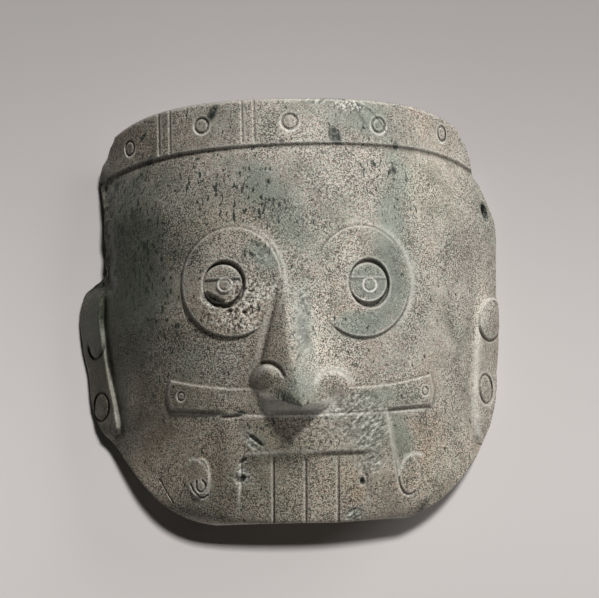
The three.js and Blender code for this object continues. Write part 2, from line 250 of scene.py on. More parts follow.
@dataclass(frozen=True)
class BlockForm:
    """The ground shape of the block before any carving, as in the solid."""

    top: float = 74.0
    bottom: float = -74.0
    side: float = 75.0
    temple_taper: float = 9.5
    chin_half: float = 29.0
    jaw_start: float = -17.0
    jaw_power: float = 1.85
    left_flat: float = 2.2
    face_height: float = 67.0
    brow_fall: float = 4.5
    chin_fall: float = 13.0
    cheek_wall: float = 9.0
    band_wall: float = 6.0
    jaw_wall: float = 35.0
    top_drop: float = 0.00485
    chin_recede: float = 12.0

    def half_width(self, side: Field, y: Field) -> Field:
        """Half width of the front at height y: a superelliptic jaw, an upright cheek and an eased-in temple.

        Args:
            side: Negative on the left side of the picture, positive on the right.
            y: Height.

        Returns:
            The half width.
        """
        rise = np.clip((y - self.bottom) / (self.jaw_start - self.bottom), 0, 1)
        swell = (1.0 - (1.0 - rise) ** self.jaw_power) ** (1.0 / self.jaw_power)
        cheek = self.chin_half + (self.side - self.chin_half) * swell
        even = cheek - self.temple_taper * eased(30, 62, y)
        flat = self.left_flat * (eased(-4, -18, y) + eased(-34, -48, y))
        flat = flat * (1.0 - 0.7 * eased(-50, -76, y))
        return np.where(side < 0.0, even - flat, even)

    def centre_height(self, y: Field) -> Field:
        """Height of the centre line: level between the eyes, and falling as squares to brow and chin."""
        brow = np.clip((y - 12.0) / (self.top - 12.0), 0, 1)
        chin = np.clip((y - 3.0) / (self.bottom - 3.0), 0, 1)
        return self.face_height - self.brow_fall * brow**2 - self.chin_fall * chin**2

    def edge_height(self, y: Field) -> Field:
        """Height at which the face meets the walls."""
        sides = self.cheek_wall + self.band_wall * eased(17, 57, y)
        return sides + self.jaw_wall * eased(-19, -77, y)

    def height(self, x: Field, y: Field) -> Field:
        """Height of the face: from centre line to edge by 1 - 0.8 t² - 0.2 t⁶ of the share t of the way."""
        out = np.abs(x) / self.half_width(x, y)
        edge = self.edge_height(y)
        return edge + (self.centre_height(y) - edge) * (1.0 - 0.8 * out**2 - 0.2 * out**6)

    def slopes(self, x: Field, y: Field) -> tuple[Field, Field]:
        """Slopes of the face along x and along y, from small central steps."""
        step = 0.05
        along_x = (self.height(x + step, y) - self.height(x - step, y)) / (2.0 * step)
        along_y = (self.height(x, y + step) - self.height(x, y - step)) / (2.0 * step)
        return along_x, along_y

    def narrowed(self, x: float, y: float) -> float:
        """How much narrower a round mark looks from in front, on the slope of the face."""
        along_x, _ = self.slopes(np.array([x]), np.array([y]))
        return float(1.0 / math.hypot(1.0, along_x[0]))

    def cut_back(self, z: Field) -> Field:
        """Y of the top, which is ground down towards the back with the square of the depth."""
        return self.top - self.top_drop * (self.centre_height(np.array(self.top)) - z) ** 2


@dataclass(frozen=True)
class FrontOutline:
    """The outline with its ears and its broken left temple, as half widths at rising heights of y."""

    left: Line = (
        (-43.4, 0), (-41.6, 0.5), (-40.4, 68), (-36.4, 70.1), (-30, 71.9), (-25.5, 72.5), (-17.2, 73.1),
        (-9.2, 74.8), (-3, 75.6), (1.6, 75.9), (6, 75.5), (9.5, 74.6), (11.4, 73.6), (12.6, 71.6),
        (13.6, 70.4), (14.6, 68.4), (15.6, 67.5), (16.8, 65.9), (19, 66.3), (21, 66.6), (26, 66.1),
        (30, 66.9), (34, 66.7), (39.6, 66.6), (43.3, 67.1), (47, 67.4), (51.5, 68.1), (54, 67.7), (56, 67.3),
        (57.6, 66.6), (58.6, 65.2), (61, 64.8), (63, 64.1), (64.6, 63), (67, 62.3), (70, 62.6), (73.5, 0),
    )
    right: Line = (
        (-44.8, 0), (-39.2, 70.9), (-31.7, 73.4), (-24.4, 74.7), (-19.7, 74.5), (-15.4, 75.2), (-9.9, 75.8),
        (-4.4, 76.1), (2.8, 76.1), (7.6, 75.6), (16, 75.8), (28.4, 76.1), (35, 75.5), (38.7, 74),
        (42.1, 0.6), (48, 0.6), (51, 67.4), (54, 66.5), (58, 66), (60.4, 65.2), (62.2, 64.6), (63.6, 63),
        (65, 61.8), (67, 61.3), (70, 61.6), (73.5, 0),
    )
    softness: float = 0.35

    def half_width(self, block: BlockForm, side: Field, y: Field) -> Field:
        """Half width at y: the mean of three close readings of the line, and the block's own past its ends.

        Args:
            block: The ground shape.
            side: Negative on the left side of the picture, positive on the right.
            y: Height.

        Returns:
            The half width.
        """
        total = np.zeros(np.broadcast(side, y).shape)
        for shift in (-self.softness, 0.0, self.softness):
            at = y + shift
            plain = block.half_width(side, at)
            for sign, table in ((-1.0, self.left), (1.0, self.right)):
                heights, widths = np.array(table).T
                own = block.half_width(np.full(heights.shape, sign), heights)
                widths = np.where(widths < 1.0, own + widths, widths)
                traced = np.interp(at, heights, widths)
                here = (np.sign(side) == sign) & (at > heights[0]) & (at < heights[-1])
                plain = np.where(here, traced, plain)
            total += plain
        return total / 3.0


# Carving of the face


class FaceField:
    """The face as fields over its lattice: place, ground height and the carving's level, square to it."""

    CROWDING = 0.25
    UPWARD_POWER = 1.12
    CHIN_LIFT = 1.3
    BAND_RISE = 1.1
    TOP_CORNER = 62.5
    SETTLING = 24
    RIDGE_WEAR_AND_HIGHLIGHT = 0.36

    def __init__(self, block: BlockForm, outline: FrontOutline, columns: int, rows: int) -> None:
        """Lays the lattice out over the front.

        Across, the share t = s(1.25 - 0.25 s²) of the half width crowds to the sides. Along, y runs from the
        chin to the top surface by the power 1.12. The top row is where the face meets the ground-back top.
        """
        self.block = block
        even = np.linspace(-1.0, 1.0, columns + 1)
        self.across = even * (1.0 + self.CROWDING - self.CROWDING * even**2)
        along = np.linspace(0.0, 1.0, rows + 1) ** self.UPWARD_POWER
        side = np.where(even < 0.0, -1.0, 1.0)
        chin = block.bottom + self.CHIN_LIFT * eased(0.35, 1, self.across)
        top = np.full(even.shape, block.top)
        for _ in range(self.SETTLING):
            x = self.across * outline.half_width(block, side, top)
            slope_x, slope_y = block.slopes(x, top)
            raised = block.height(x, top) + self.BAND_RISE * np.sqrt(1.0 + slope_x**2 + slope_y**2)
            ground_back = block.cut_back(np.minimum(raised, self.TOP_CORNER))
            top = 0.5 * top + 0.5 * np.minimum(block.top, ground_back)
        self.y = chin + along[:, None] * (top - chin)
        self.x = self.across * outline.half_width(block, np.broadcast_to(side, self.y.shape), self.y)
        self.ground = block.height(self.x, self.y)
        slope_x, slope_y = block.slopes(self.x, self.y)
        self.stretch = np.sqrt(1.0 + slope_x**2 + slope_y**2)
        self.normal = np.stack((-slope_x, -slope_y, np.ones_like(slope_x)), axis=-1) / self.stretch[..., None]
        self.from_top = (top - chin) * (1.0 - along[:, None]) + np.zeros_like(self.x)
        self.from_chin = (top - chin) * along[:, None] + np.zeros_like(self.x)
        self.level = np.zeros_like(self.x)
        self.rise = np.full(self.x.shape, -9.0)
        # Share of dirt and painted shade: dirt at the bottom of grooves, and shade painted into recesses and
        # under raised edges.
        self.grime_and_shade = np.zeros_like(self.x)
        # Share of pale: wear of the stone, and painted highlights on edges that face the light.
        self.pale = np.zeros_like(self.x)
        # Worn ridges turn pale, partly as painted highlight, but not along the far left edge, which lies in
        # shade.
        self.worn = self.RIDGE_WEAR_AND_HIGHLIGHT * eased(-67, -60, self.x)

    @property
    def spots(self) -> Field:
        """Points of the ground in space, for noise."""
        return np.stack((self.x, self.y, self.ground), axis=-1)

    def drilled(self, x: float, y: float) -> Field:
        """Distance from a drilled mark's middle, narrowed across as the face's slope shows it."""
        return np.hypot((self.x - x) / self.block.narrowed(x, y), self.y - y)

    def to_level(self, mask: Field, level: Field | float) -> None:
        """Brings the stone under a soft mask to a level of the carving."""
        self.level = self.level * (1.0 - mask) + level * mask

    def darken_with_dirt_and_shade(self, share: Field) -> None:
        """Keeps the larger of the dirt and painted shade already there and a new share."""
        self.grime_and_shade = np.maximum(self.grime_and_shade, share)

    def lighten_with_wear_and_highlight(self, share: Field) -> None:
        """Keeps the larger of the pale wear and painted highlight already there and a new share."""
        self.pale = np.maximum(self.pale, share)

    def panel(self, inset: Field, level: float, bevel: float = 1.2, shown: Field | float = 1.0) -> None:
        """Brings the inside of an outline to a level, with a bevel across its edge.

        Args:
            inset: Distance inwards from the outline.
            level: Level of the carving inside it.
            bevel: Width of the bevel.
            shown: Share of the step that is carved, where the panel fades out.
        """
        self.to_level(eased(-0.35 * bevel, 0.65 * bevel, inset) * shown, level)

    def groove(self, distance: Field, width: float, depth: float, shown: Field | float = 1.0,
               dirt_and_shade: float = 0.4) -> None:
        """Scribes a groove with straight walls and a rounded bottom.

        Its depth falls with the root of distance² + a twelfth of the width² from the middle to its edges.

        Args:
            distance: Distance from the groove's middle.
            width: Width over its edges.
            depth: Depth at its middle.
            shown: Share of the depth that is cut, where the groove fades out.
            dirt_and_shade: Share of dirt and painted shade at its bottom.
        """
        half, turn = 0.5 * width, width / 12.0
        reach = math.hypot(half, turn)
        fall = np.clip((reach - np.hypot(distance, turn)) / (reach - turn), 0, 1)
        self.level = self.level - depth * shown * fall
        self.darken_with_dirt_and_shade(dirt_and_shade * shown * eased(0.3, 1, fall))


@dataclass(frozen=True)
class Headband:
    """The raised band over the brow, with drilled rings and pairs of upright lines.

    Each entry of rings is a middle, and each entry of lines is its x, low end, high end and depth.
    """

    low: float = 57.6
    arch: float = 0.0022
    lean: float = 0.015
    level: float = 0.9
    ring_radius: float = 3.05
    ring_line: float = 1.25
    ring_depth: float = 0.75
    line_width: float = 1.05
    rings: Line = ((-57.2, 61.3), (-32.3, 65.8), (-1.9, 65.6), (29.8, 65), (54.3, 64.6))
    lines: tuple[tuple[float, float, float, float], ...] = (
        (-47, 56.6, 90, 0.7), (-43.2, 56.8, 90, 0.7), (-18.3, 58.6, 90, 0.62), (-14.1, 58.8, 90, 0.62),
        (12, 59.5, 72, 0.16), (15.8, 59.5, 72, 0.16), (40.4, 57.6, 60.4, 0.2),
    )

    def edge(self, block: BlockForm, x: Field) -> Field:
        """Lower edge of the band: a straight line that drops with the square of the face's depth."""
        inside = np.minimum(np.abs(x), 65.5)
        low = np.full(np.shape(inside), self.low)
        depth = block.centre_height(np.array(self.low)) - block.height(inside, low)
        return self.low + self.lean * x - self.arch * depth**2

    def carve(self, face: FaceField) -> None:
        """Raises the band, sinks a soft hollow under its edge and cuts its rings and lines."""
        above = face.y - self.edge(face.block, face.x)
        face.level -= 0.3 * bell(above + 1.2, 1.1)
        # Painted shadow: a dark line just under the band's edge, faint near the middle and full towards the
        # ends.
        face.darken_with_dirt_and_shade(0.5 * bell(above + 0.75, 0.55) * (0.2 + 0.8 * eased(12, 42, np.abs(face.x + 4.0))))
        face.panel(above, self.level, 1.1)
        for x, y in self.rings:
            outside = face.drilled(x, y) - self.ring_radius
            face.groove(outside + 0.4, self.ring_line, self.ring_depth, 1.0, 0.35)
            # A pale rim round each ring, paler on its lower half as a painted highlight.
            face.lighten_with_wear_and_highlight(bell(outside - 0.35, 0.4) * (0.45 + 0.4 * eased(1, -1, face.y - y)))
        for x, low, high, depth in self.lines:
            inside = eased(low - 0.4, low + 0.6, face.y) * eased(high + 0.4, high - 0.6, face.y)
            face.groove(face.x - x, self.line_width, depth, inside, 0.25)
            # A painted highlight along the right side of each line.
            face.lighten_with_wear_and_highlight(0.9 * depth * bell(face.x - x - 0.5, 0.4) * inside)


@dataclass(frozen=True)
class Eye:
    """One goggle with its ringed iris, lid and pupil, seen from in front.

    Each entry of worn is the direction and half angle, in degrees, of a side where the goggle's edge is worn,
    and the share of the edge that is gone there.
    """

    goggle: tuple[float, float]
    goggle_radii: tuple[float, float]
    iris: tuple[float, float]
    iris_radii: tuple[float, float]
    disc: tuple[float, float]
    disc_radius: float
    lid: float
    pupil: tuple[float, float]
    under_lid: float
    worn: tuple[tuple[float, float, float], ...]


@dataclass(frozen=True)
class Goggles:
    """Two round goggles standing off the face."""

    eyes: tuple[Eye, ...] = (
        Eye((-23, 9.8), (17.3, 19.2), (-25.75, 9.05), (7.5, 8.75), (-26.3, 9.3), 6.75, 11, (-25.6, 8.9), 0.4,
            ((-32, 32, 0.93),)),
        Eye((22.3, 9.4), (17.3, 19.6), (24.9, 8.8), (7.55, 8.85), (24.4, 9.1), 6.95, 10.5, (24.9, 8), 0.62,
            ((188, 50, 0.93), (12, 34, 0.65))),
    )
    level: float = 1.15
    ring_level: float = -1.1
    disc_level: float = 1.1
    pupil_ring: float = 2.15
    painted_highlight_side: float = 15.0
    bevel: float = 0.6
    worn_ease: float = 14.0

    def carve(self, face: FaceField) -> None:
        """Raises both goggles, then sinks ring, iris and pupil into each."""
        for eye in self.eyes:
            rim = ellipse_inset(face.x, face.y, eye.goggle, eye.goggle_radii)
            turn = np.degrees(np.arctan2(face.y - eye.goggle[1], face.x - eye.goggle[0]))
            shown = np.ones_like(turn)
            for side, half, share in eye.worn:
                away = np.abs((turn - side + 180.0) % 360.0 - 180.0)
                shown -= share * eased(half + self.worn_ease, half - self.worn_ease, away)
            near = eased(-7, -1, rim)
            face.panel(rim, self.level, self.bevel, 1.0 - (1.0 - shown) * near * eased(9, 3, rim))
            # A dark line at the goggle's foot: dirt and painted shade.
            face.darken_with_dirt_and_shade(0.6 * bell(rim + 0.2, 0.3) * np.maximum(shown, 0))
            # Painted highlight: a pale halo just outside the goggle, on the side turned to the light.
            lit = eased(0, 0.9, np.cos(np.radians(turn - self.painted_highlight_side)))
            face.lighten_with_wear_and_highlight(0.55 * bell(rim + 1.2, 0.9) * np.minimum(1, shown + 0.5) * lit)
            self._iris(face, eye)

    def _iris(self, face: FaceField, eye: Eye) -> None:
        """Sinks a ring round the iris, leaves a disc with a lid standing in it and drills a round pupil."""
        x, y = face.x, face.y
        inset = ellipse_inset(x, y, eye.iris, eye.iris_radii)
        sunk = eased(0, 0.7, inset)
        face.to_level(sunk, self.ring_level)
        disc = eye.disc_radius - np.hypot(x - eye.disc[0], y - eye.disc[1])
        kept = eased(-0.35, 0.35, disc) * eased(0.35, 0.8, inset)
        # The ring round the disc is darkened: dirt and painted shade in its recess.
        face.darken_with_dirt_and_shade(0.75 * sunk * (1.0 - kept))
        face.to_level(kept, self.disc_level)
        below = y - eye.lid
        inside = eased(0.1, 0.7, disc) * sunk
        face.to_level(eased(0.25, -0.25, below) * inside, eye.under_lid)
        face.darken_with_dirt_and_shade(0.45 * bell(below + 0.35, 0.3) * inside)
        face.lighten_with_wear_and_highlight(0.9 * bell(below - 0.2, 0.35) * inside)
        pupil = np.hypot(x - eye.pupil[0], y - eye.pupil[1]) - self.pupil_ring
        face.to_level(eased(0.9, 0.3, pupil), self.disc_level)
        face.darken_with_dirt_and_shade(0.4 * bell(pupil - 1.0, 0.35) * inside)
        face.groove(pupil + 0.35, 0.8, 0.45, 1.0, 0.25)
        face.lighten_with_wear_and_highlight(1.0 * bell(pupil - 0.25, 0.6))
        face.pale *= 1.0 - 0.9 * eased(-0.3, -0.7, pupil)


@dataclass(frozen=True)
class LipBar:
    """The bar across the upper lip, with round ends that sweep up."""

    left: float = -46.2
    right: float = 48.4
    low: float = -36.4
    sag: float = 0.0013
    high: float = -27.1
    level_half: float = 16.0
    sweep: float = 0.0052
    level: float = 1.45
    lower_bevel: float = 2.0
    dots: Line = ((-41.1, -29.0), (44.7, -28.4))
    dot_radius: float = 1.75
    dot_line: float = 0.75
    dot_depth: float = 0.6
    middle: float = -28.2
    left_round: float = 0.10
    right_round: float = 0.075

    def carve(self, face: FaceField) -> None:
        """Raises the bar between its two curved edges and its round ends, and drills a ring near each end."""
        high = self.high + self.sweep * np.maximum(0, np.abs(face.x) - self.level_half) ** 2 - face.y
        low = face.y - self.low - self.sag * face.x**2
        away = np.abs(face.y - self.middle) ** 1.6
        ends = np.minimum(face.x - self.left - self.left_round * away,
                          self.right - face.x - self.right_round * away)
        upper = eased(-0.4, 0.8, np.minimum(high, ends * 0.8))
        under = eased(-0.3, 0.7, low / self.lower_bevel * 1.2)
        face.to_level(upper * under, self.level)
        rim = np.minimum(np.minimum(high, ends), low)
        face.darken_with_dirt_and_shade(0.45 * bell(rim + 0.3, 0.35) * eased(16, 22, np.abs(face.x)))
        for x, y in self.dots:
            outside = face.drilled(x, y) - self.dot_radius
            face.groove(outside + 0.3, self.dot_line, self.dot_depth, 1.0, 0.6)
            face.lighten_with_wear_and_highlight(0.6 * bell(outside - 0.25, 0.3))


@dataclass(frozen=True)
class Nostril:
    """One flat lobe on the nose's flank: middle, half width, height over its middle, rise, slopes and rim."""

    x: float
    y: float
    width: float
    height: float
    rise: float
    slope: float
    lean: float
    rim: float


@dataclass(frozen=True)
class Nose:
    """A ridge that widens and rises from the bridge to a blunt tip, with a round nostril on each flank."""

    bridge: float = 12.0
    tip: float = -34.3
    wing_rise: float = 0.36
    left_base: float = -9.1
    right_base: float = 9.6
    left_spread: float = 0.262
    right_spread: float = 0.16
    rise: float = 11.4
    under: float = 2.4
    under_spread: float = 0.5
    ridge_round: float = 0.13
    left_power: float = 0.72
    right_power: float = 1.2
    fullness: float = 0.97
    nostrils: tuple[Nostril, ...] = (
        Nostril(-11.8, -26.6, 5.9, 7.5, 4.5, 0.20, 0.46, 1.0),
        Nostril(11.4, -28.0, 6.6, 6.4, 3.6, -0.12, 0.36, 0.0),
    )

    def ridge_line(self, y: Field) -> Field:
        """X of the ridge: it leans from left of the middle at the bridge to the middle at the tip."""
        return -5.0 + 0.045 * (4.0 - y) + 3.0 * eased(-13, -34, y)

    def carve(self, face: FaceField) -> None:
        """Adds the ridge as a height over the face.

        The height is rise d^0.85 (1 - a)^p, where d is the share of the way down from bridge to tip, a that
        from the ridge to the left or right base line, rounded over the ridge, and p the power of that side.
        The nostrils are flat lobes on its flanks. Under a line that rises to both sides, all of it turns in
        to the lip.
        """
        x, y = face.x, face.y
        down = np.clip((self.bridge - y) / (self.bridge - self.tip), 0.0, 1.1)
        ridge = self.ridge_line(y)
        left = ridge - (self.left_base + self.left_spread * y)
        right = self.right_base - self.right_spread * y - ridge
        on_left = x < ridge
        across = np.where(on_left, (ridge - x) / np.maximum(left, 1), (x - ridge) / np.maximum(right, 1))
        turn = self.ridge_round
        gap = (math.hypot(1.0, turn) - np.hypot(across, turn)) / (math.hypot(1.0, turn) - turn)
        power = np.where(on_left, self.left_power, self.right_power)
        body = self.rise * down**0.85 * np.maximum(gap, 0) ** power * self.fullness
        body = body - 0.4 - 6.0 * np.maximum(0, -gap)
        body -= 1.5 * np.maximum(0, y - self.bridge)
        for lobe in self.nostrils:
            over = (x - lobe.x) / lobe.width
            up = np.maximum(0, y - lobe.y) / lobe.height
            spread = np.hypot(over, up)
            outer = eased(0.1, 0.9, over * math.copysign(1.0, lobe.x))
            flat = np.clip(1.0 - spread**3, 0, 1) ** (0.4 + 0.5 * outer)
            top = lobe.rise + lobe.slope * (x - lobe.x) + lobe.lean * (y - lobe.y)
            dome = np.maximum(top, 1) * flat - 6.0 * np.maximum(0, spread - 1.0)
            rim = (spread - 1.0) * 0.5 * (lobe.width + lobe.height)
            side = eased(0.1, 0.5, up) * (1.0 - outer)
            body -= 1.1 * lobe.rim * side * eased(1.3, 0.4, rim) * eased(-0.8, 0, rim)
            body = larger_of(body, dome, 0.3 + 1.1 * (1.0 - lobe.rim))
            # Painted shade in a dark crescent over a rimmed lobe's top, and painted highlights inside it and
            # over the top of a lobe without a rim.
            face.darken_with_dirt_and_shade(0.95 * lobe.rim * side * bell(rim - 0.2, 0.42))
            face.lighten_with_wear_and_highlight(0.6 * lobe.rim * side * bell(rim + 0.85, 0.45))
            face.lighten_with_wear_and_highlight(0.75 * (1.0 - lobe.rim) * eased(0, 0.4, up) * bell(rim - 0.2, 1.1))
        base = self.left_base + self.left_spread * y
        flank = eased(4, -2, y) * eased(-24, -17, y)
        # A dark line along the left base of the nose as painted shade, and a paler strip just outside it as
        # painted light.
        face.darken_with_dirt_and_shade(0.6 * flank * bell(x - base - 0.5, 0.7))
        face.lighten_with_wear_and_highlight(0.35 * flank * bell(x - base + 1.4, 1.0))
        low = y - (self.tip + self.wing_rise * np.abs(x + 0.3))
        reach = self.under + self.under_spread * np.abs(x + 0.3)
        share = -low / reach
        below = eased(0, 1, share)
        # Painted light: the nose's underside, which lies in shade, is lightened.
        turned = eased(0.02, 0.12, share) * eased(1, 0.7, share) * eased(0.5, 1.8, body)
        face.lighten_with_wear_and_highlight(0.7 * turned * eased(15, 11, np.abs(x)))
        # Painted light on the nose's right flank.
        face.lighten_with_wear_and_highlight(0.22 * bell(x - ridge - 4.5, 4.5) * eased(12, 2, y) * eased(-34, -26, y))
        body = body - (body + 0.6) * below - 4.0 * np.maximum(0, -low - reach)
        # The pale of ridges, partly painted highlight, is kept low along the nose's lower edge, which lies in
        # shade.
        face.worn -= 0.5 * bell(low, 2.6) * (np.abs(x) < 20.0)
        face.lighten_with_wear_and_highlight(0.45 * bell(low - 0.1, 0.6) * eased(-17.5, -16, x) * eased(-9.5, -11.5, x))
        face.rise = np.maximum(face.rise, body)


@dataclass(frozen=True)
class Curl:
    """A raised oval at the end of a fang, with cut lines and with thin pale lines scribed round it."""

    centre: tuple[float, float]
    radii: tuple[float, float]
    lean: float
    level: float
    cuts: tuple[Line, ...]
    scribed: tuple[Line, ...]


@dataclass(frozen=True)
class Mouth:
    """The lip, two fangs that end in curls and a row of teeth between them."""

    level: float = 1.2
    lip: float = -49.6
    lip_left: float = -20.6
    lip_right: float = 22.7
    spread: float = 0.06
    teeth_level: float = -0.1
    gaps: tuple[float, ...] = (-9.6, 1.6, 13.0)
    curls: tuple[Curl, ...] = (
        Curl((-35.4, -57.4), (3.9, 6.9), 0.10, 0.9, (
            ((-38.2, -59.6), (-37.2, -62), (-36.1, -63.2), (-35.1, -64.1), (-33.8, -64.4), (-32.4, -63.5)),
            ((-36.2, -58.6), (-36.2, -61), (-35, -62.4), (-33.6, -61.8), (-33.2, -60), (-34.2, -58.4)),
        ), (
            ((-38.2, -51.1), (-36.7, -50.8), (-35.2, -51.6), (-33.6, -53.2), (-32.4, -55.2), (-31.8, -57.3),
             (-31.6, -59.3), (-32, -61.2), (-32.8, -62.7)),
        )),
        Curl((38.4, -57.4), (4.3, 7.2), -0.06, 0.6, (
            ((34.6, -58.6), (34.9, -61), (35.7, -62.8), (36.7, -64.1), (38.1, -64.4), (39.4, -64.1),
             (40.3, -63.4)),
        ), (
            ((31.3, -37.2), (31.9, -42.2), (32.9, -47.8), (33.6, -51.3), (34.6, -54.9), (34.7, -58)),
            ((35.7, -55.6), (36, -53.9), (36.8, -52.4), (38.2, -51.1), (39.8, -50.4), (41.4, -50.3),
             (42.8, -50.7)),
        )),
    )

    def carve(self, face: FaceField) -> None:
        """Raises the lip and fangs, sinks the row of teeth and scribes the curls."""
        x, y = face.x, face.y
        drop = np.maximum(0, -35.5 - y)
        left = x + 28.2 + 0.03 * drop
        right = 30.9 + 0.14 * drop - x
        under_bar = eased(-33, -35, y) * eased(1.75, 1.25, face.level)
        fades = eased(-70, -54, y)
        lip = eased(-2.6, 3.4, left) * eased(-0.4, 0.7, right)
        face.to_level(lip * under_bar * fades, self.level)
        seam = y + 36.6 - 0.0013 * x**2
        face.groove(seam, 0.8, 0.3, eased(-21, -19, x) * eased(27, 20, x), 0.15)
        # A pale line just under the seam, where the lip's top edge catches the light: painted highlight.
        face.lighten_with_wear_and_highlight(0.7 * bell(seam + 0.7, 0.4) * eased(48, 40, np.abs(x)))
        along = eased(-28.5, -26.5, x) * eased(-19, -22, x)
        undercut = eased(0.9, 0, np.abs(y + 36.3 - 0.02 * x)) * along
        face.level -= 0.7 * undercut
        face.darken_with_dirt_and_shade(undercut)
        face.level -= 0.2 * bell(right + 0.7, 0.9) * eased(-35, -37.5, y) * eased(-60, -52, y)
        low = self.lip + 0.012 * x - y
        spread = self.spread * np.maximum(0, low)
        left_side, right_side = x - self.lip_left + spread, self.lip_right + spread - x
        sides = np.minimum(left_side, right_side)
        open_corner = 3.2 * eased(9, 1.5, low)
        soft = 1.0 + 2.4 * eased(10, -4, x)
        within = eased(-0.5 - open_corner, 0.7 + open_corner, sides)
        face.to_level(within * eased(-0.5 * soft, 1.4 * soft, low), self.teeth_level)
        face.darken_with_dirt_and_shade(0.5 * bell(low - 0.9, 0.45) * within * eased(2, 10, x))
        face.lighten_with_wear_and_highlight(0.6 * bell(low + 0.1, 0.45) * within * eased(16, 4, x))
        for side, lean in ((left_side, 0.2), (right_side, 0.0)):
            face.lighten_with_wear_and_highlight(0.6 * bell(side + lean, 0.45) * eased(2, 6, low) * eased(-72, -64, y))
        face.darken_with_dirt_and_shade(0.4 * bell(right_side + 1.1, 0.45) * eased(3, 7, low) * eased(-68, -62, y))
        for gap in self.gaps:
            face.groove(x - gap, 1.05, 0.8, eased(0.8, 5, low), 0.45)
            # A pale line on the left wall of each gap, which faces the light: painted highlight.
            face.lighten_with_wear_and_highlight(0.4 * bell(x - gap + 0.7, 0.35) * eased(1, 5, low))
        for curl in self.curls:
            slant = x - curl.lean * (y - curl.centre[1])
            inset = ellipse_inset(slant, y, curl.centre, curl.radii)
            inner = eased(-1.1, 0.2, (slant - curl.centre[0]) / curl.radii[0] + 0.2)
            face.panel(inset, curl.level + 0.05 * (slant - curl.centre[0]), 1.0, inner)
            for line in curl.cuts:
                distance = line_distance(x, y, smooth_line(line))
                face.groove(distance, 0.95, 0.6, 1.0, 0.7)
                face.lighten_with_wear_and_highlight(0.5 * bell(distance - 0.7, 0.3))
            for line in curl.scribed:
                distance = line_distance(x, y, smooth_line(line))
                face.groove(distance, 0.8, 0.12, 1.0, 0.0)
                face.lighten_with_wear_and_highlight(0.75 * bell(distance, 0.55))


@dataclass(frozen=True)
class Ears:
    """A raised ear down each edge of the face, behind a groove, with drilled rings.

    The boss is its middle, half width and half height, and a ring is these and the height that it fades at.
    """

    left: Line = (
        (-62, 19), (-67.5, 17.4), (-90, 17), (-90, -41.6), (-67.6, -41.4), (-64.4, -41.8), (-62.6, -38.5),
        (-63.6, -30), (-65.2, -21.6), (-67.2, -10), (-68.4, 1), (-67.6, 8), (-64.5, 14),
    )
    right: Line = (
        (69.5, 6.5), (90, 6), (90, -43.5), (69, -43.2), (66.8, -41), (65, -37), (64.2, -30), (64.6, -18),
        (65.4, -8), (66.8, 1),
    )
    level: float = 1.35
    right_level: float = 1.0
    boss: tuple[float, float, float, float] = (72.6, -0.6, 5.2, 7.9)
    rings: tuple[tuple[float, float, float, float, float], ...] = (
        (-70.2, -7.6, 3.1, 5.7, -8.5), (-68.7, -30.4, 2.9, 5.35, 0), (69.5, -26.3, 3.1, 5.5, 0),
    )
    left_edge: Line = ((-68.2, -0.5), (-67.4, -8), (-65.6, -19.5), (-64.2, -28), (-63.2, -36), (-63, -40))
    right_edge: Line = ((69.6, 3), (67.4, -6), (66, -16), (64.9, -26), (64.6, -34), (66, -42))
    left_groove: Line = (
        (-66.2, 15), (-67, 6), (-66.9, 0), (-65.8, -10), (-64.2, -21), (-62.7, -30), (-61.6, -38),
        (-62.6, -43), (-65.4, -44.4),
    )
    right_groove: Line = (
        (62.4, 44), (63.2, 30), (64.4, 20), (65.2, 10), (64.8, 2), (63.8, -8), (62.6, -20), (62.4, -32),
        (63.6, -40), (66, -45.4), (68.8, -46.4),
    )

    def carve(self, face: FaceField) -> None:
        """Raises each ear past its outline, cuts the groove in front of it and drills its rings."""
        x, y = face.x, face.y
        top_fade = eased(13, 4, y)
        face.panel(outline_inset(x, y, self.left), self.level, 2.0, 0.2 + 0.8 * top_fade)
        face.panel(outline_inset(x, y, self.right), self.right_level, 3.0)
        for line, width, depth in ((self.left_groove, 1.0, 1.1), (self.right_groove, 2.2, 0.9)):
            distance = line_distance(x, y, smooth_line(line))
            strength = eased(24, -6, y) * 0.85 + 0.15
            face.level -= depth * strength * bell(distance, width + 0.2)
            face.darken_with_dirt_and_shade(0.3 * strength * bell(distance, width))
        # Painted shade over the right ear's strip below its top.
        face.darken_with_dirt_and_shade(0.2 * eased(0.5, 2.5, outline_inset(x, y, self.right)) * eased(3, -4, y))
        boss_x, boss_y, across, along = self.boss
        slant = x - 0.16 * (y - boss_y)
        inset = ellipse_inset(slant, y, (boss_x, boss_y), (across, along))
        face.panel(inset, self.right_level + 0.75, 1.3)
        down = (y - boss_y) / along
        face.groove(inset + 0.15, 1.3, 1.0, eased(-0.35, -0.75, down), 0.7)
        face.lighten_with_wear_and_highlight(0.75 * bell(inset, 0.6) * eased(-0.7, -0.3, down))
        # A pale line along the right ear's front edge, a painted highlight where the face turns towards the
        # light.
        edge = line_distance(x, y, smooth_line(self.right_edge))
        face.lighten_with_wear_and_highlight(0.55 * bell(edge, 1.6) * eased(6, -4, y))
        edge = line_distance(x, y, smooth_line(self.left_edge))
        face.lighten_with_wear_and_highlight(0.45 * bell(edge, 0.7) * eased(1, -7, y) * eased(-43, -36, y))
        for x_at, y_at, across, along, top in self.rings:
            inset = ellipse_inset(x, y, (x_at, y_at), (across, along))
            shown = eased(top + 1.5, top - 1.5, y)
            face.groove(inset - 0.3, 1.05, 0.85, shown, 0.6)
            # Only the ring on the lit right side gets a pale rim: painted highlight.
            face.lighten_with_wear_and_highlight(0.6 * bell(inset + 0.6, 0.45) * shown * (x_at > 0.0))
            face.level += 0.3 * eased(0.6, 2.2, inset) * shown


# Marks of the stone, and painted shade and light


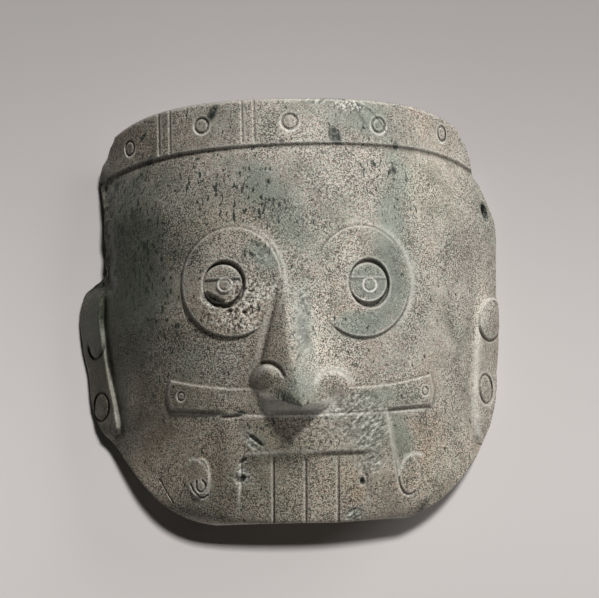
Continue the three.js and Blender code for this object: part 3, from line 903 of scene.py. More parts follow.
@dataclass(frozen=True)
class Patch:
    """A soft oval on the face with its strength, tilted anticlockwise by degrees."""

    x: float
    y: float
    width: float
    height: float
    strength: float = 1.0
    tilt: float = 0.0

    def cover(self, x: Field, y: Field, wave: Field, edge: float) -> Field:
        """Share of the patch at each point: eased over its edge, which a wave makes ragged."""
        turn = math.radians(self.tilt)
        over = ((x - self.x) * math.cos(turn) + (y - self.y) * math.sin(turn)) / self.width
        up = ((y - self.y) * math.cos(turn) - (x - self.x) * math.sin(turn)) / self.height
        return self.strength * eased(1.0 + edge, 1.0 - edge, np.hypot(over, up) + 0.55 * wave)


def covered(patches: tuple[Patch, ...], x: Field, y: Field, wave: Field, edge: float = 0.4) -> Field:
    """The strongest of several patches at each point."""
    cover = np.zeros(x.shape)
    for patch in patches:
        cover = np.maximum(cover, patch.cover(x, y, wave, edge))
    return cover


@dataclass(frozen=True)
class StoneMarks:
    """Where the stone is green and smooth, where it is flecked, where it is pitted and where it has split, and
    where shade and light are painted into its colour.
    """

    green: tuple[Patch, ...] = (
        Patch(-58, 20, 12, 30, 0.9), Patch(-8, 36.5, 8, 18, 0.85, 40), Patch(35, 36, 6, 22, 0.8, -4),
        Patch(33, 12, 7.5, 17, 1, 8), Patch(22, -5.5, 12, 5, 1, 12), Patch(24.6, 9, 7, 8, 0.95),
        Patch(-12.5, 18.5, 6.5, 3, 1, -40), Patch(37, -4, 4, 10, 0.4), Patch(1, -6, 3.6, 17, 0.8),
        Patch(0, -28, 7, 8, 0.85), Patch(35.4, -46, 4.6, 11, 0.9, 8), Patch(33, -30.5, 12, 4, 0.7, 4),
        Patch(25, 66, 14, 7, 0.75, -10), Patch(-72, -2, 6, 15, 0.9), Patch(-38, -22, 6, 19, 0.5, -8),
        Patch(-15, -45.5, 3.2, 2.2, 0.9, -40), Patch(-21, -56, 2.6, 4, 0.7),
        Patch(18.2, -70.8, 3.2, 2.2, 0.9), Patch(-38, -67, 9, 5, 0.55, 20), Patch(-12, 12, 4, 16, 0.35),
        Patch(-30, 67.5, 9, 6, 0.35), Patch(24, -44, 7, 10, 0.6, -30), Patch(-62, -26, 3, 14, 0.5),
        Patch(50, -22, 4, 8, 0.2), Patch(-45, 46, 8, 8, 0.35),
    )
    flecked: tuple[Patch, ...] = (
        Patch(-57, 26, 11, 30), Patch(-16, 38, 14, 11, 0.75, -20), Patch(0, -10, 4.5, 13, 0.9),
        Patch(-13, 22, 6, 5, 0.8), Patch(-45, 5, 8, 40, 0.45), Patch(-10, -42, 14, 8, 0.5),
        Patch(22, 66, 16, 8, 0.5, -30), Patch(-18, 2, 9, 8, 0.7), Patch(33, 46, 8, 10, 0.5),
        Patch(-2, -36, 12, 6, 0.5), Patch(-31, 44, 9, 10, 0.75),
    )
    brown: tuple[Patch, ...] = (
        # Warm brown tints of the stone; the one under the nose, at (-4, -44), also darkens the nose's cast
        # shadow on the lip as painted shade.
        Patch(0, -58, 70, 26, 0.75), Patch(-4, -44, 15, 12), Patch(-24, -2, 16, 9, 0.9),
        Patch(-45, -34, 18, 14, 0.7), Patch(-70, -26, 9, 18, 0.8), Patch(16, -60, 12, 10),
        Patch(-10, -18, 9, 12, 0.7), Patch(-22, 30, 16, 8, 0.5), Patch(-52, 62, 14, 8, 0.6),
    )
    deep: tuple[Patch, ...] = (
        Patch(-29.2, 3.8, 3.6, 1.7, 1, -30), Patch(21.3, -59.8, 0.5, 0.9, 0.8),
        Patch(-15.5, -45.4, 2.6, 0.7, 0.55, -40), Patch(-20.8, -58.4, 1.5, 0.8, 0.8, 40),
        Patch(-20.4, -52.2, 1.3, 0.6, 0.6, 40), Patch(-24, -0.3, 0.9, 0.7, 0.8), Patch(-19, -1, 1, 0.7, 0.8),
    )
    spots: tuple[Patch, ...] = (
        Patch(14, 60.5, 1.9, 3.4, 1, 24), Patch(35.9, 58, 1, 1.2), Patch(-28.7, 69.6, 1.3, 3.4, 1, -30),
        Patch(-50.3, 55.4, 0.9, 1.7, 1, -20), Patch(-62.2, 48.2, 0.9, 2.2),
        Patch(-52.6, 64.2, 0.6, 2, 1, -30), Patch(21.3, -59.8, 0.8, 1.2), Patch(-20.6, -58.2, 1.3, 1.5),
        Patch(27.5, 51.2, 0.7, 1.6, 1, 30), Patch(35, 49.3, 0.9, 1.5, 1, 20),
        Patch(43.5, -68.4, 1.4, 3.4, 0.6, -40), Patch(-9.8, 44.6, 0.8, 1), Patch(1, -8.4, 1.7, 5.4, 0.9, 10),
        Patch(2.6, -1, 0.6, 2.4, 0.8, 14), Patch(-60.4, 31.4, 0.7, 1.9), Patch(-52.8, 24.6, 0.7, 1.6),
        Patch(-5, 58.6, 1.2, 0.8, 0.8), Patch(-47, 2, 0.6, 1.4), Patch(23, 68.5, 0.5, 4.4, 0.55, 34),
        Patch(-5, -31.4, 1.5, 5.4, 0.8, 48), Patch(-1.6, -33.6, 0.8, 2.4, 0.8, 46),
        Patch(-32.9, -59.8, 0.5, 0.9), Patch(-16.6, -47.2, 0.6, 2.8, 0.8, 58),
    )
    pitted: tuple[Patch, ...] = (
        Patch(-18.5, 3.5, 5, 7.5, 1, 20), Patch(-23, -3.5, 8.5, 3.6, 0.85, -14),
        Patch(-11, 6.5, 6, 3.2, 0.7, 10), Patch(16, -34, 8, 4, 0.5, 10), Patch(23.5, -42.5, 5, 8, 0.35, -25),
        Patch(-16.5, -46, 6, 3.6, 0.3, -40), Patch(-20.5, -57.5, 3.2, 3.6, 0.5),
        Patch(18, -70.6, 3.4, 2.6, 0.5), Patch(23, -56, 4, 5, 0.4), Patch(-30.5, 3.6, 2.6, 2.4, 1, -30),
        Patch(22.5, 2.8, 2.2, 1.8, 0.5), Patch(19, 71.6, 6, 1.8, 0.8), Patch(7, -43, 10, 6, 0.4),
    )
    splits: tuple[Patch, ...] = (
        Patch(23, -41, 7.5, 8.5, 0.8, -35), Patch(18.5, -33.5, 7.5, 3, 0.8, 28),
        Patch(25, -53.5, 4, 5, 0.8, -10), Patch(-17, -45.6, 4.6, 1.6, 0.5, -40),
        Patch(-20.8, -57.2, 2.4, 2.6, 0.5), Patch(18.2, -71, 3, 1.9, 0.9), Patch(21.4, -59.8, 0.9, 1.1),
        Patch(-28.6, 3.4, 3.2, 1.9, 0.9, -30), Patch(8, 73, 4, 0.9, 0.9), Patch(0.5, -10, 2, 7.5, 0.7, 8),
        Patch(-13.5, 20.5, 5.5, 1.8, 0.5, -40), Patch(71.8, 35.6, 1, 1.2, 0.9),
    )
    # Painted shade: the dark left side, the left cheek and lower jaw, the nose's left flank, the nose's cast
    # shadow on the lip and the bar's right end.
    painted_shade: tuple[Patch, ...] = (
        Patch(-66, 6, 24, 62), Patch(-48, -24, 14, 20, 0.5), Patch(-9, -46, 14, 9, 0.4),
        Patch(-28, -59, 13, 13, 0.4), Patch(-12.5, -20, 5, 14, 0.35, -12), Patch(44, -40, 9, 12, 0.2, 10),
    )
    # Painted light: patches lightened where light falls brighter, on the nose's right flank, about the
    # goggles, at both ends of the band, on the lower left jaw and on the right ear strip.
    painted_light: tuple[Patch, ...] = (
        Patch(9, -8, 9, 16, 0.75), Patch(21, 22, 13, 8, 0.4), Patch(48, 47, 12, 15, 0.6),
        Patch(-22, 6, 13, 9, 0.35), Patch(-54, -57, 9, 12, 0.9, 25), Patch(-56, 61, 10, 7, 0.5),
        Patch(69, -16, 7, 22, 0.7),
    )
    scratches: tuple[Line, ...] = (
        ((-48.8, -57.6), (-46.6, -61.8), (-44.2, -66)), ((-27.8, -42.4), (-27.2, -46)),
        ((-18, -48.4), (-19.6, -49.8), (-20.6, -52.6), (-20.6, -57.6)), ((26, 71), (30.2, 66.6), (32.4, 63)),
        ((-39.8, 2), (-38.2, -4)),
    )

    def carve(self, face: FaceField, noise: StoneNoise) -> None:
        """Pits the rough patches, splits flakes off along slanting ridges and cuts the scratches.

        Pits are the part of a fine noise below a line, and ridges are a noise drawn out along a slant.
        """
        spots = face.spots
        wave = noise.octaves(spots, 5.0, 3)
        along, across = 0.78 * face.x + 0.62 * face.y, 0.78 * face.y - 0.62 * face.x
        turned = np.stack((along, 3.4 * across, face.ground), axis=-1)
        ridges = 1.0 - 2.2 * np.abs(noise.octaves(turned, 7.0, 4, 0.62))
        pits = np.minimum(0.1, noise.octaves(spots + 9.0, 2.3, 4, 0.8) + 0.06)
        face.level += 0.85 * covered(self.pitted, face.x, face.y, wave) * pits
        split = covered(self.splits, face.x, face.y, wave, 0.35)
        face.level -= split * (0.95 - 0.75 * ridges)
        deep = covered(self.deep, face.x, face.y, 1.2 * wave, 0.4)
        face.level -= 1.2 * deep
        face.darken_with_dirt_and_shade(0.9 * deep)
        face.level -= 0.12 * covered(self.spots, face.x, face.y, 0.3 * wave, 0.3)
        for line in self.scratches:
            face.groove(line_distance(face.x, face.y, smooth_line(line)), 0.8, 0.3, 1.0, 0.75)

    def paint(self, mesh: bpy.types.Mesh, noise: StoneNoise, hole: CordHole) -> None:
        """Stores on the mesh's points the share of each kind of mark and tint that the materials read, painted
        shade and painted light among them.
        """
        places = np.empty(len(mesh.vertices) * 3, np.float32)
        mesh.vertices.foreach_get("co", places)
        points = places.reshape(-1, 3).astype(float) / MM
        x, y = points[:, 0], points[:, 1]
        wave = noise.octaves(points, 9.0, 4, 0.6)
        slow = noise.octaves(points + 70.0, 34.0, 3, 0.55)
        drifts = 0.35 * eased(0.1, 0.5, slow) * eased(46, 30, x)
        fields = {
            "green": np.maximum(covered(self.green, x, y, 1.3 * wave, 0.75), drifts),
            "flecked": covered(self.flecked, x, y, wave, 0.6),
            # Dark spots of the stone, and painted shade down the cord hole.
            "spots_and_hole_shade": np.maximum(covered(self.spots, x, y, 0.45 * wave, 0.3), hole.painted_hole_shade(points)),
            "pitted": covered(self.pitted, x, y, 1.3 * wave, 0.6),
            "split": covered(self.splits, x, y, 1.3 * wave, 0.6),
            "brown": covered(self.brown, x, y, wave, 0.8),
            "painted_shade": covered(self.painted_shade, x, y, wave, 0.9),
            "painted_light": covered(self.painted_light, x, y, wave, 0.9),
        }
        for name, values in fields.items():
            attribute = mesh.attributes.new(name, "FLOAT", "POINT")
            attribute.data.foreach_set("value", np.clip(values, 0, 1).astype(np.float32))


# Mesh of the mask


@dataclass
class MeshParts:
    """Vertices and faces gathered for one mesh, with shares of dirt and painted shade, and of pale wear and
    painted highlight, for each vertex.
    """

    points: list[Field] = field(default_factory=list)
    grime_and_shade: list[Field] = field(default_factory=list)
    wear: list[Field] = field(default_factory=list)
    quads: list[tuple[Field, int]] = field(default_factory=list)
    triangles: list[tuple[Field, int]] = field(default_factory=list)
    count: int = 0

    def add(self, points: Field, grime_and_shade: Field | float = 0.0, wear: Field | float = 0.0) -> Field:
        """Adds points with their shares of dirt and painted shade and of pale wear and painted highlight, and
        returns their indices.
        """
        start = self.count
        self.count += len(points)
        self.points.append(points)
        for values, value in ((self.grime_and_shade, grime_and_shade), (self.wear, wear)):
            values.append(np.broadcast_to(np.asarray(value, float), (len(points),)))
        return np.arange(start, self.count)

    def next_loop(self, before: Field, points: Field, finish: Finish, grime_and_shade: float = 0.1,
                  wear: float = 0.0) -> Field:
        """Adds a closed loop and the quads between it and the loop before it, and returns its indices."""
        index = self.add(points, grime_and_shade, wear)
        self.quads.append((ring_quads(before, index), finish.value))
        return index

    def triangle_count(self) -> int:
        """Triangles of the whole mesh."""
        return 2 * sum(len(q) for q, _ in self.quads) + sum(len(t) for t, _ in self.triangles)


class Finish(Enum):
    """Which finish a face of the mask takes: the carved outside or the pecked hollow and rim."""

    CARVED = 0
    PECKED = 1


class AdaptiveGrid:
    """Meshes a lattice with cells of 8, 4, 2 or 1 steps, the smaller where the surface turns."""

    SIZES = (8, 4, 2)
    TOLERANCES = (0.0005, 0.2)
    HALVINGS = 14

    def __init__(self, points: Field, normal: Field) -> None:
        """Measures how far each flat cell would lie off the surface, along the normal and at the border."""
        self.points = points
        self.rows, self.columns = points.shape[0] - 1, points.shape[1] - 1
        self.errors = {size: self._error(size, normal) for size in self.SIZES}

    def _error(self, size: int, normal: Field) -> Field:
        """Largest distance, in each cell of this size, from the surface to the mix of the cell's corners."""
        corners = self.points[::size, ::size]
        low, high = corners[:-1], corners[1:]
        worst = np.zeros((self.rows // size, self.columns // size))
        for i in range(size + 1):
            for j in range(size + 1):
                u, v = i / size, j / size
                flat = ((1 - u) * ((1 - v) * low[:, :-1] + v * low[:, 1:])
                        + u * ((1 - v) * high[:, :-1] + v * high[:, 1:]))
                rows = slice(i, i + self.rows - size + 1, size)
                columns = slice(j, j + self.columns - size + 1, size)
                gap = self.points[rows, columns] - flat
                worst = np.maximum(worst, np.abs((gap * normal[rows, columns]).sum(axis=-1)))
                whole = np.linalg.norm(gap, axis=-1)
                for edge in (np.s_[:, 0], np.s_[:, -1], np.s_[-1, :]):
                    worst[edge] = np.maximum(worst[edge], 0.6 * whole[edge])
        return worst

    @staticmethod
    def _spread(split: Field) -> Field:
        """A cell is split with any neighbour, and its parent with any of its own four."""
        wide = np.pad(split, 1)
        near = np.zeros_like(split)
        for i in range(3):
            for j in range(3):
                near |= wide[i:i + split.shape[0], j:j + split.shape[1]]
        return near.reshape(near.shape[0] // 2, 2, near.shape[1] // 2, 2).any(axis=(1, 3))

    def splits(self, tolerance: float) -> dict[int, Field]:
        """Which cells of each size are split, so that no neighbours differ by more than one size."""
        split = {size: self.errors[size] > tolerance for size in self.SIZES}
        split[4] |= self._spread(split[2])
        split[8] |= self._spread(split[4])
        return split

    @staticmethod
    def _doubled(cells: Field) -> Field:
        """Each cell as its own four of half the size."""
        return cells.repeat(2, axis=0).repeat(2, axis=1)

    def _leaves(self, split: dict[int, Field]) -> dict[int, Field]:
        """Cells of each size that are there and aren't split."""
        fours, twos, ones = (self._doubled(split[size]) for size in self.SIZES)
        return {8: ~split[8], 4: fours & ~split[4], 2: twos & ~split[2], 1: ones}

    def fitted(self, budget: int) -> dict[int, Field]:
        """Leaves for the smallest tolerance that keeps to a budget of cells, found by halving the range."""
        low, high = self.TOLERANCES
        for _ in range(self.HALVINGS):
            middle = math.sqrt(low * high)
            cells = sum(int(leaf.sum()) for leaf in self._leaves(self.splits(middle)).values())
            low, high = (middle, high) if cells > budget else (low, middle)
        log.info("face cells within %.4f mm", high)
        return self._leaves(self.splits(high))

    def mesh(self, parts: MeshParts, leaves: dict[int, Field],
             marks: tuple[Field, Field]) -> tuple[Field, Field]:
        """Adds the cells: a plain cell as a quad, and one beside smaller cells as a fan from its middle.

        Args:
            parts: Mesh to add to.
            leaves: Cells of each size.
            marks: Grime and wear at each lattice point.

        Returns:
            The mesh's index of each lattice point, -1 where unused, and the border's lattice points in order.
        """
        width = self.columns + 1
        used = np.zeros((self.rows + 1, width), bool)
        corners: dict[int, Field] = {}
        for size, leaf in leaves.items():
            row, column = np.nonzero(leaf)
            row, column = row * size, column * size
            corners[size] = np.stack((row, column), axis=-1)
            for i, j in ((0, 0), (0, size), (size, size), (size, 0)):
                used[row + i, column + j] = True
        quads, fans = [], []
        for size, start in corners.items():
            row, column = start.T
            ring = np.stack([(row + i) * width + column + j
                             for i, j in ((0, 0), (0, size), (size, size), (size, 0))], axis=-1)
            if size == 1:
                quads.append(ring)
                continue
            half = size // 2
            middles = np.stack([(row + i) * width + column + j
                                for i, j in ((0, half), (half, size), (size, half), (half, 0))], axis=-1)
            hangs = used.ravel()[middles]
            open_cell = hangs.any(axis=1)
            quads.append(ring[~open_cell])
            centre = (row + half) * width + column + half
            for side in range(4):
                first, last = ring[:, side], ring[:, (side + 1) % 4]
                cut = open_cell & hangs[:, side]
                whole = open_cell & ~hangs[:, side]
                fans.append(np.stack((first, last, centre), axis=-1)[whole])
                fans.append(np.stack((first, middles[:, side], centre), axis=-1)[cut])
                fans.append(np.stack((middles[:, side], last, centre), axis=-1)[cut])
            used.ravel()[centre[open_cell]] = True
        index = np.full(used.size, -1)
        kept = used.ravel()
        index[kept] = parts.add(self.points.reshape(-1, 3)[kept], *(mark.ravel()[kept] for mark in marks))
        parts.quads.append((index[np.concatenate(quads)], Finish.CARVED.value))
        parts.triangles.append((index[np.concatenate(fans)], Finish.CARVED.value))
        grid = np.arange(used.size).reshape(used.shape)
        border = np.concatenate((grid[0, :-1], grid[:-1, -1], grid[-1, :0:-1], grid[:0:-1, 0]))
        return index, border


def zip_loops(upper: Field, upper_at: Field, lower: Field, lower_at: Field) -> Field:
    """Joins two closed loops of different counts with one triangle for each step along either of them.

    Args:
        upper: Indices of the first loop.
        upper_at: Their shares of the way round, from 0 and rising.
        lower: Indices of the next loop.
        lower_at: Their shares of the way round, from 0 and rising.

    Returns:
        Triangles that face outwards where the loops run anticlockwise and the next lies lower.
    """
    upper_end, lower_end = np.append(upper_at[1:], 1.0), np.append(lower_at[1:], 1.0)
    across = np.searchsorted(lower_at, upper_end, side="left") - 1
    step = np.arange(len(upper))
    first = np.stack((upper[(step + 1) % len(upper)], upper, lower[across % len(lower)]), axis=-1)
    across = np.searchsorted(np.append(upper_at, 1.0), lower_end, side="right") - 1
    step = np.arange(len(lower))
    second = np.stack((lower, lower[(step + 1) % len(lower)], upper[across % len(upper)]), axis=-1)
    return np.concatenate((first, second))


def ring_quads(upper: Field, lower: Field) -> Field:
    """Quads between two closed loops of the same count, facing outwards as in zip_loops."""
    return np.stack((lower, np.roll(lower, -1), np.roll(upper, -1), upper), axis=-1)


@dataclass
class CordHole:
    """The cord's hole through the right temple, drilled from outside and from behind until the two met."""

    mouth: tuple[float, float, float] = (70.6, 38.4, 16.8)
    radius: float = 3.0
    waist: float = 1.6
    tilt: float = 54.0
    length: float = 10.0
    back_x: float = 64.5
    around: int = 28
    rings: int = 12

    def cone(self, name: str, start: Vector, end: Vector, wide: float, thin: float) -> bpy.types.Object:
        """A closed cone between two points: rings round the axis, with radii that run from end to end.

        Args:
            name: Name of the object.
            start: Middle of the wide end.
            end: Middle of the thin end.
            wide: Radius at the start.
            thin: Radius at the end.

        Returns:
            The cone.
        """
        axis = (end - start).normalized()
        side = axis.orthogonal().normalized()
        other = axis.cross(side)
        turn = np.linspace(0.0, 2.0 * math.pi, self.around, endpoint=False)
        levels = np.linspace(0.0, 1.0, self.rings + 1)
        radii = wide + (thin - wide) * levels
        spokes = np.outer(np.cos(turn), side) + np.outer(np.sin(turn), other)
        middles = np.array(start) + np.outer(levels, np.array(end - start))
        points = (middles[:, None] + radii[:, None, None] * spokes).reshape(-1, 3)
        index = np.arange(len(points)).reshape(len(levels), self.around)
        faces = [ring_quads(index[k + 1], index[k]).tolist() for k in range(len(levels) - 1)]
        flat = [face for ring in faces for face in ring] + [index[0][::-1].tolist(), index[-1].tolist()]
        mesh = bpy.data.meshes.new(name)
        mesh.from_pydata((points * MM).tolist(), [], flat)
        mesh.update()
        obj = bpy.data.objects.new(name, mesh)
        bpy.context.scene.collection.objects.link(obj)
        return obj

    def cutters(self) -> list[bpy.types.Object]:
        """The two drill cones."""
        mouth = Vector(self.mouth)
        turn = math.radians(self.tilt)
        out = Vector((math.sin(turn), 0.0, math.cos(turn)))
        reach = self.length
        flare = self.radius + (self.radius - self.waist) * 0.6
        outside = self.cone("drill_outside", mouth + out * reach, mouth - out * reach, flare, self.waist)
        low = Vector((self.back_x, self.mouth[1], -reach))
        behind = self.cone("drill_behind", low, low + Vector((0.0, 0.0, 2.0 * reach)), flare, self.waist)
        return [outside, behind]

    def painted_hole_shade(self, points: Field) -> Field:
        """Painted shade down the hole, near its axis: from none at the mouth's rim to full two millimetres in.
        """
        turn = math.radians(self.tilt)
        way = points - np.array(self.mouth)
        axis = np.array((math.sin(turn), 0.0, math.cos(turn)))
        depth = way @ axis
        apart = np.linalg.norm(way - depth[:, None] * axis, axis=1)
        return 0.95 * eased(self.radius + 0.5, self.radius + 0.1, apart) * eased(2.2, 0.2, depth)

    def drill(self, obj: bpy.types.Object) -> None:
        """Cuts both cones out of the mesh and removes them."""
        for cutter in self.cutters():
            modifier = obj.modifiers.new(cutter.name, "BOOLEAN")
            modifier.operation = "DIFFERENCE"
            modifier.solver = "EXACT"
            modifier.object = cutter
            bpy.context.view_layer.update()
            graph = bpy.context.evaluated_depsgraph_get()
            cut = bpy.data.meshes.new_from_object(obj.evaluated_get(graph))
            obj.modifiers.clear()
            old = obj.data
            obj.data = cut
            bpy.data.meshes.remove(old)
            bpy.data.objects.remove(cutter)


@dataclass
class CarvedMask:
    """The whole mask: carved face, walls, back rim and hollow in one closed mesh."""

    block: BlockForm = BlockForm()
    outline: FrontOutline = FrontOutline()
    headband: Headband = Headband()
    goggles: Goggles = Goggles()
    bar: LipBar = LipBar()
    nose: Nose = Nose()
    mouth: Mouth = Mouth()
    ears: Ears = field(default_factory=Ears)
    hole: CordHole = field(default_factory=CordHole)
    marks: StoneMarks = StoneMarks()
    columns: int = 640
    rows: int = 512
    face_cells: int = 62500
    wall_columns: int = 320
    wall_rings: int = 24
    hollow_half: float = 59.0
    hollow_up: float = 38.0
    hollow_down: float = 48.0
    hollow_depth: float = 49.0
    hollow_middle: float = 1.0
    hollow_lean: float = 0.2
    hollow_plan: float = 2.9
    hollow_dome: float = 2.6
    foot_round: float = 0.9
    lip_round: float = 1.4
    corner_height: float = 16.5
    squeezed_from: float = 20.0
    order_step: float = 1e-5

    def __post_init__(self) -> None:
        """Seeds the noise of the stone."""
        self.noise = StoneNoise(STONE_SEED)

    def face_field(self) -> FaceField:
        """Carves the face and roughens it as worn stone."""
        face = FaceField(self.block, self.outline, self.columns, self.rows)
        for carving in (self.headband, self.goggles, self.bar, self.mouth, self.ears, self.nose):
            carving.carve(face)
        self.marks.carve(face, self.noise)
        return face

    @staticmethod
    def turned_edges(body: Field, stretch: Field) -> tuple[Field, Field]:
        """Hollows and ridges of the carving: how far it lies under or over the mean of the lattice round it.

        Args:
            body: Height of the carving over the ground.
            stretch: How much longer upright measures are than square ones.

        Returns:
            Shares of hollow and of ridge.
        """
        reach = 3
        wide = np.pad(body, reach, mode="edge")
        sums = np.cumsum(np.cumsum(np.pad(wide, ((1, 0), (1, 0))), axis=0), axis=1)
        size = 2 * reach + 1
        total = sums[size:, size:] - sums[:-size, size:] - sums[size:, :-size] + sums[:-size, :-size]
        mean = total / size**2
        over = (body - mean) / stretch
        return eased(0.03, 0.28, -over), eased(0.03, 0.24, over)

    def broken_share(self, x: Field, y: Field, points: Field) -> Field:
        """How far the stone is broken at the lost left temple: 1 at the break, 0 past a ragged line."""
        wave = self.noise.octaves(points, 9.0, 3)
        along = eased(8, 14, y) * eased(55, 50, y)
        return along * eased(-62.6 + 2.6 * wave.clip(-1, 1), -65.2 + 2.6 * wave, x)

    def surface(self, face: FaceField) -> Field:
        """Height of the carved face, worn and rounded at its edges.

        The carving's level is laid off upwards by level / normal_z, so that the outline stays where it is.
        The nose is the larger of that and its own ridge.

        Returns:
            The points of the lattice.
        """
        spots = face.spots
        wear = self.noise.octaves(spots, 26.0, 2)
        grain = self.noise.octaves(spots, 3.2, 3, 0.62)
        level = face.level + 0.16 * wear + 0.07 * grain
        body = larger_of(level * face.stretch, face.rise + 0.2 * wear + 0.1 * grain, 0.35)
        arris = np.clip(0.9 + 0.5 * self.noise.octaves(spots, 7.0, 3), 0.35, 1.6)
        for gap in (face.from_top, face.from_chin):
            share = np.clip(gap / arris, 0, 1)
            body -= arris * (1.0 - np.sqrt(np.clip(1.0 - (1.0 - share) ** 2, 0, 1)))
        broken = self.broken_share(face.x, face.y, spots)
        shards = self.noise.octaves(spots + 50.0, 4.0, 4, 0.6)
        body -= broken * (1.2 + 1.1 * shards) * np.minimum(face.stretch, 2.2)
        return np.stack((face.x, face.y, face.ground + body), axis=-1)

    def wall_loop(self, border: Field, inward: Field, level: float) -> Field:
        """One loop of the walls.

        At the share `level` of its column's height, the sides stand upright and follow the top where it is
        ground back, and the jaw is drawn in by the share (1 - level)^1.4 along the inward direction.

        Args:
            border: Points where the face ends, in order.
            inward: Inward directions at those points.
            level: Share of the height, 1 at the face and 0 at the foot.

        Returns:
            The loop's points.
        """
        block = self.block
        x, y, top = border.T
        foot = self.foot_round
        z = foot + (top - foot) * level
        side = np.where(x < 0.0, -1.0, 1.0)
        half = self.outline.half_width(block, side, y)
        on_top = (y > block.cut_back(top) - 0.6) & (y > 40.0)
        corner, still = self.corner_height, self.squeezed_from
        corner_y = float(block.cut_back(np.array(corner)))
        at_level = block.cut_back(foot + (corner - foot) * level)
        lower = np.where(on_top, y + block.cut_back(z) - block.cut_back(top), y)
        squeeze = still + (y - still) * (at_level - still) / (corner_y - still)
        lower = np.where(~on_top & (y > still), np.minimum(y, squeeze), lower)
        ratio = self.outline.half_width(block, side, lower) / half
        across = np.where(y > still, x * ratio, x)
        inset = block.chin_recede * eased(-25.0, block.bottom, y) * (1.0 - level) ** 1.4
        return np.stack((across + inward[:, 0] * inset, lower + inward[:, 1] * inset, z), axis=-1)

    @staticmethod
    def inward_directions(border: Field) -> Field:
        """Inward directions of a closed loop: its run over some neighbours each way, turned left."""
        reach = max(1, len(border) // 160)
        run = np.roll(border, -reach, axis=0)[:, :2] - np.roll(border, reach, axis=0)[:, :2]
        turned = np.stack((-run[:, 1], run[:, 0]), axis=-1)
        smooth = sum(np.roll(turned, shift, axis=0) for shift in range(-reach, reach + 1))
        return smooth / np.maximum(np.linalg.norm(smooth, axis=1, keepdims=True), 1e-9)

    def in_order(self, ring: Field) -> Field:
        """Keeps a loop's points in order round the middle, so that no column folds back over the next."""
        x, y = ring[:, 0], ring[:, 1] - self.hollow_middle
        turn = np.unwrap(np.arctan2(y, x))
        way = math.copysign(1.0, turn[-1] - turn[0])
        step = self.order_step * np.arange(len(turn))
        after = np.maximum.accumulate(way * turn - step)
        before = np.minimum.accumulate((way * turn - step)[::-1])[::-1]
        kept = way * (0.5 * (after + before) + step)
        far = np.hypot(x, y)
        return np.stack((far * np.cos(kept), self.hollow_middle + far * np.sin(kept), ring[:, 2]), axis=-1)

    def hollow_point(self, angle: Field, height: float) -> Field:
        """Loop of the hollow at a share of its depth.

        The plan is a superellipse |x/a|^2.9 + |y/b|^2.9 = 1 that shrinks as (1 - h^2.6)^(1/2.6) and leans
        towards the headband by 0.2 of its height.
        """
        z = self.hollow_depth * height
        scale = (1.0 - height**self.hollow_dome) ** (1.0 / self.hollow_dome)
        reach = np.where(np.sin(angle) > 0.0, self.hollow_up, self.hollow_down)
        power = self.hollow_plan
        radius = scale * (np.abs(np.cos(angle) / self.hollow_half) ** power
                          + np.abs(np.sin(angle) / reach) ** power) ** (-1.0 / power)
        y = self.hollow_middle + self.hollow_lean * z + radius * np.sin(angle)
        return np.stack((radius * np.cos(angle), y, np.full(angle.shape, z)), axis=-1)

    def build_walls(self, parts: MeshParts, loop: Field, border: Field,
                    at: tuple[Field, Field]) -> tuple[Field, Field]:
        """Adds the walls under the face's border, with a quarter round at their foot.

        Over even steps s the share of the height falls by 0.35 s + 0.65 s^1.35, so the loops lie closer near
        the face. Each loop is roughened inwards by noise, more where the temple is broken.

        Args:
            parts: Mesh to add to.
            loop: Mesh indices of the face's border.
            border: All lattice points of the border, in order.
            at: Share of the way round of each vertex in loop, and of each point of border.

        Returns:
            Indices and points of the walls' foot.
        """
        loop_at, border_at = at
        share = np.arange(self.wall_columns) / self.wall_columns
        closed = np.concatenate((border, border[:1]))
        way = np.append(border_at, 1.0)
        sampled = np.stack([np.interp(share, way, closed[:, k]) for k in range(3)], axis=-1)
        inward = self.inward_directions(sampled)
        steps = np.linspace(0.0, 1.0, self.wall_rings + 1)
        levels = 1.0 - (0.35 * steps + 0.65 * steps**1.35)
        levels[0] = 0.992
        previous = None
        for level in levels:
            ring = self.wall_loop(sampled, inward, float(level))
            broken = self.broken_share(ring[:, 0] + 1.0, ring[:, 1], ring)
            shards = self.noise.octaves(ring + 50.0, 4.0, 4, 0.6)
            rough = self.noise.octaves(ring, 11.0, 3) * 0.28 + self.noise.octaves(ring, 2.6, 2) * 0.09
            depth = rough + broken * (1.1 + 1.1 * shards)
            fade = min(1.0, (1.0 - level) * 6.0 + 0.15)
            ring[:, :2] += inward * (np.maximum(depth, -0.1) * fade)[:, None]
            ring = self.in_order(ring)
            if previous is None:
                previous = parts.add(ring, 0.12)
                parts.triangles.append((zip_loops(loop, loop_at, previous, share), Finish.CARVED.value))
            else:
                previous = parts.next_loop(previous, ring, Finish.CARVED, 0.12)
            last = ring
        for turn in (0.35, 0.7, 1.0):
            ring = last.copy()
            ring[:, :2] += inward * self.foot_round * (1.0 - math.cos(turn * math.pi / 2.0))
            ring = self.in_order(ring)
            ring[:, 2] = self.foot_round * (1.0 - math.sin(turn * math.pi / 2.0))
            previous = parts.next_loop(previous, ring, Finish.CARVED, 0.1, 0.3 * turn)
        return previous, ring

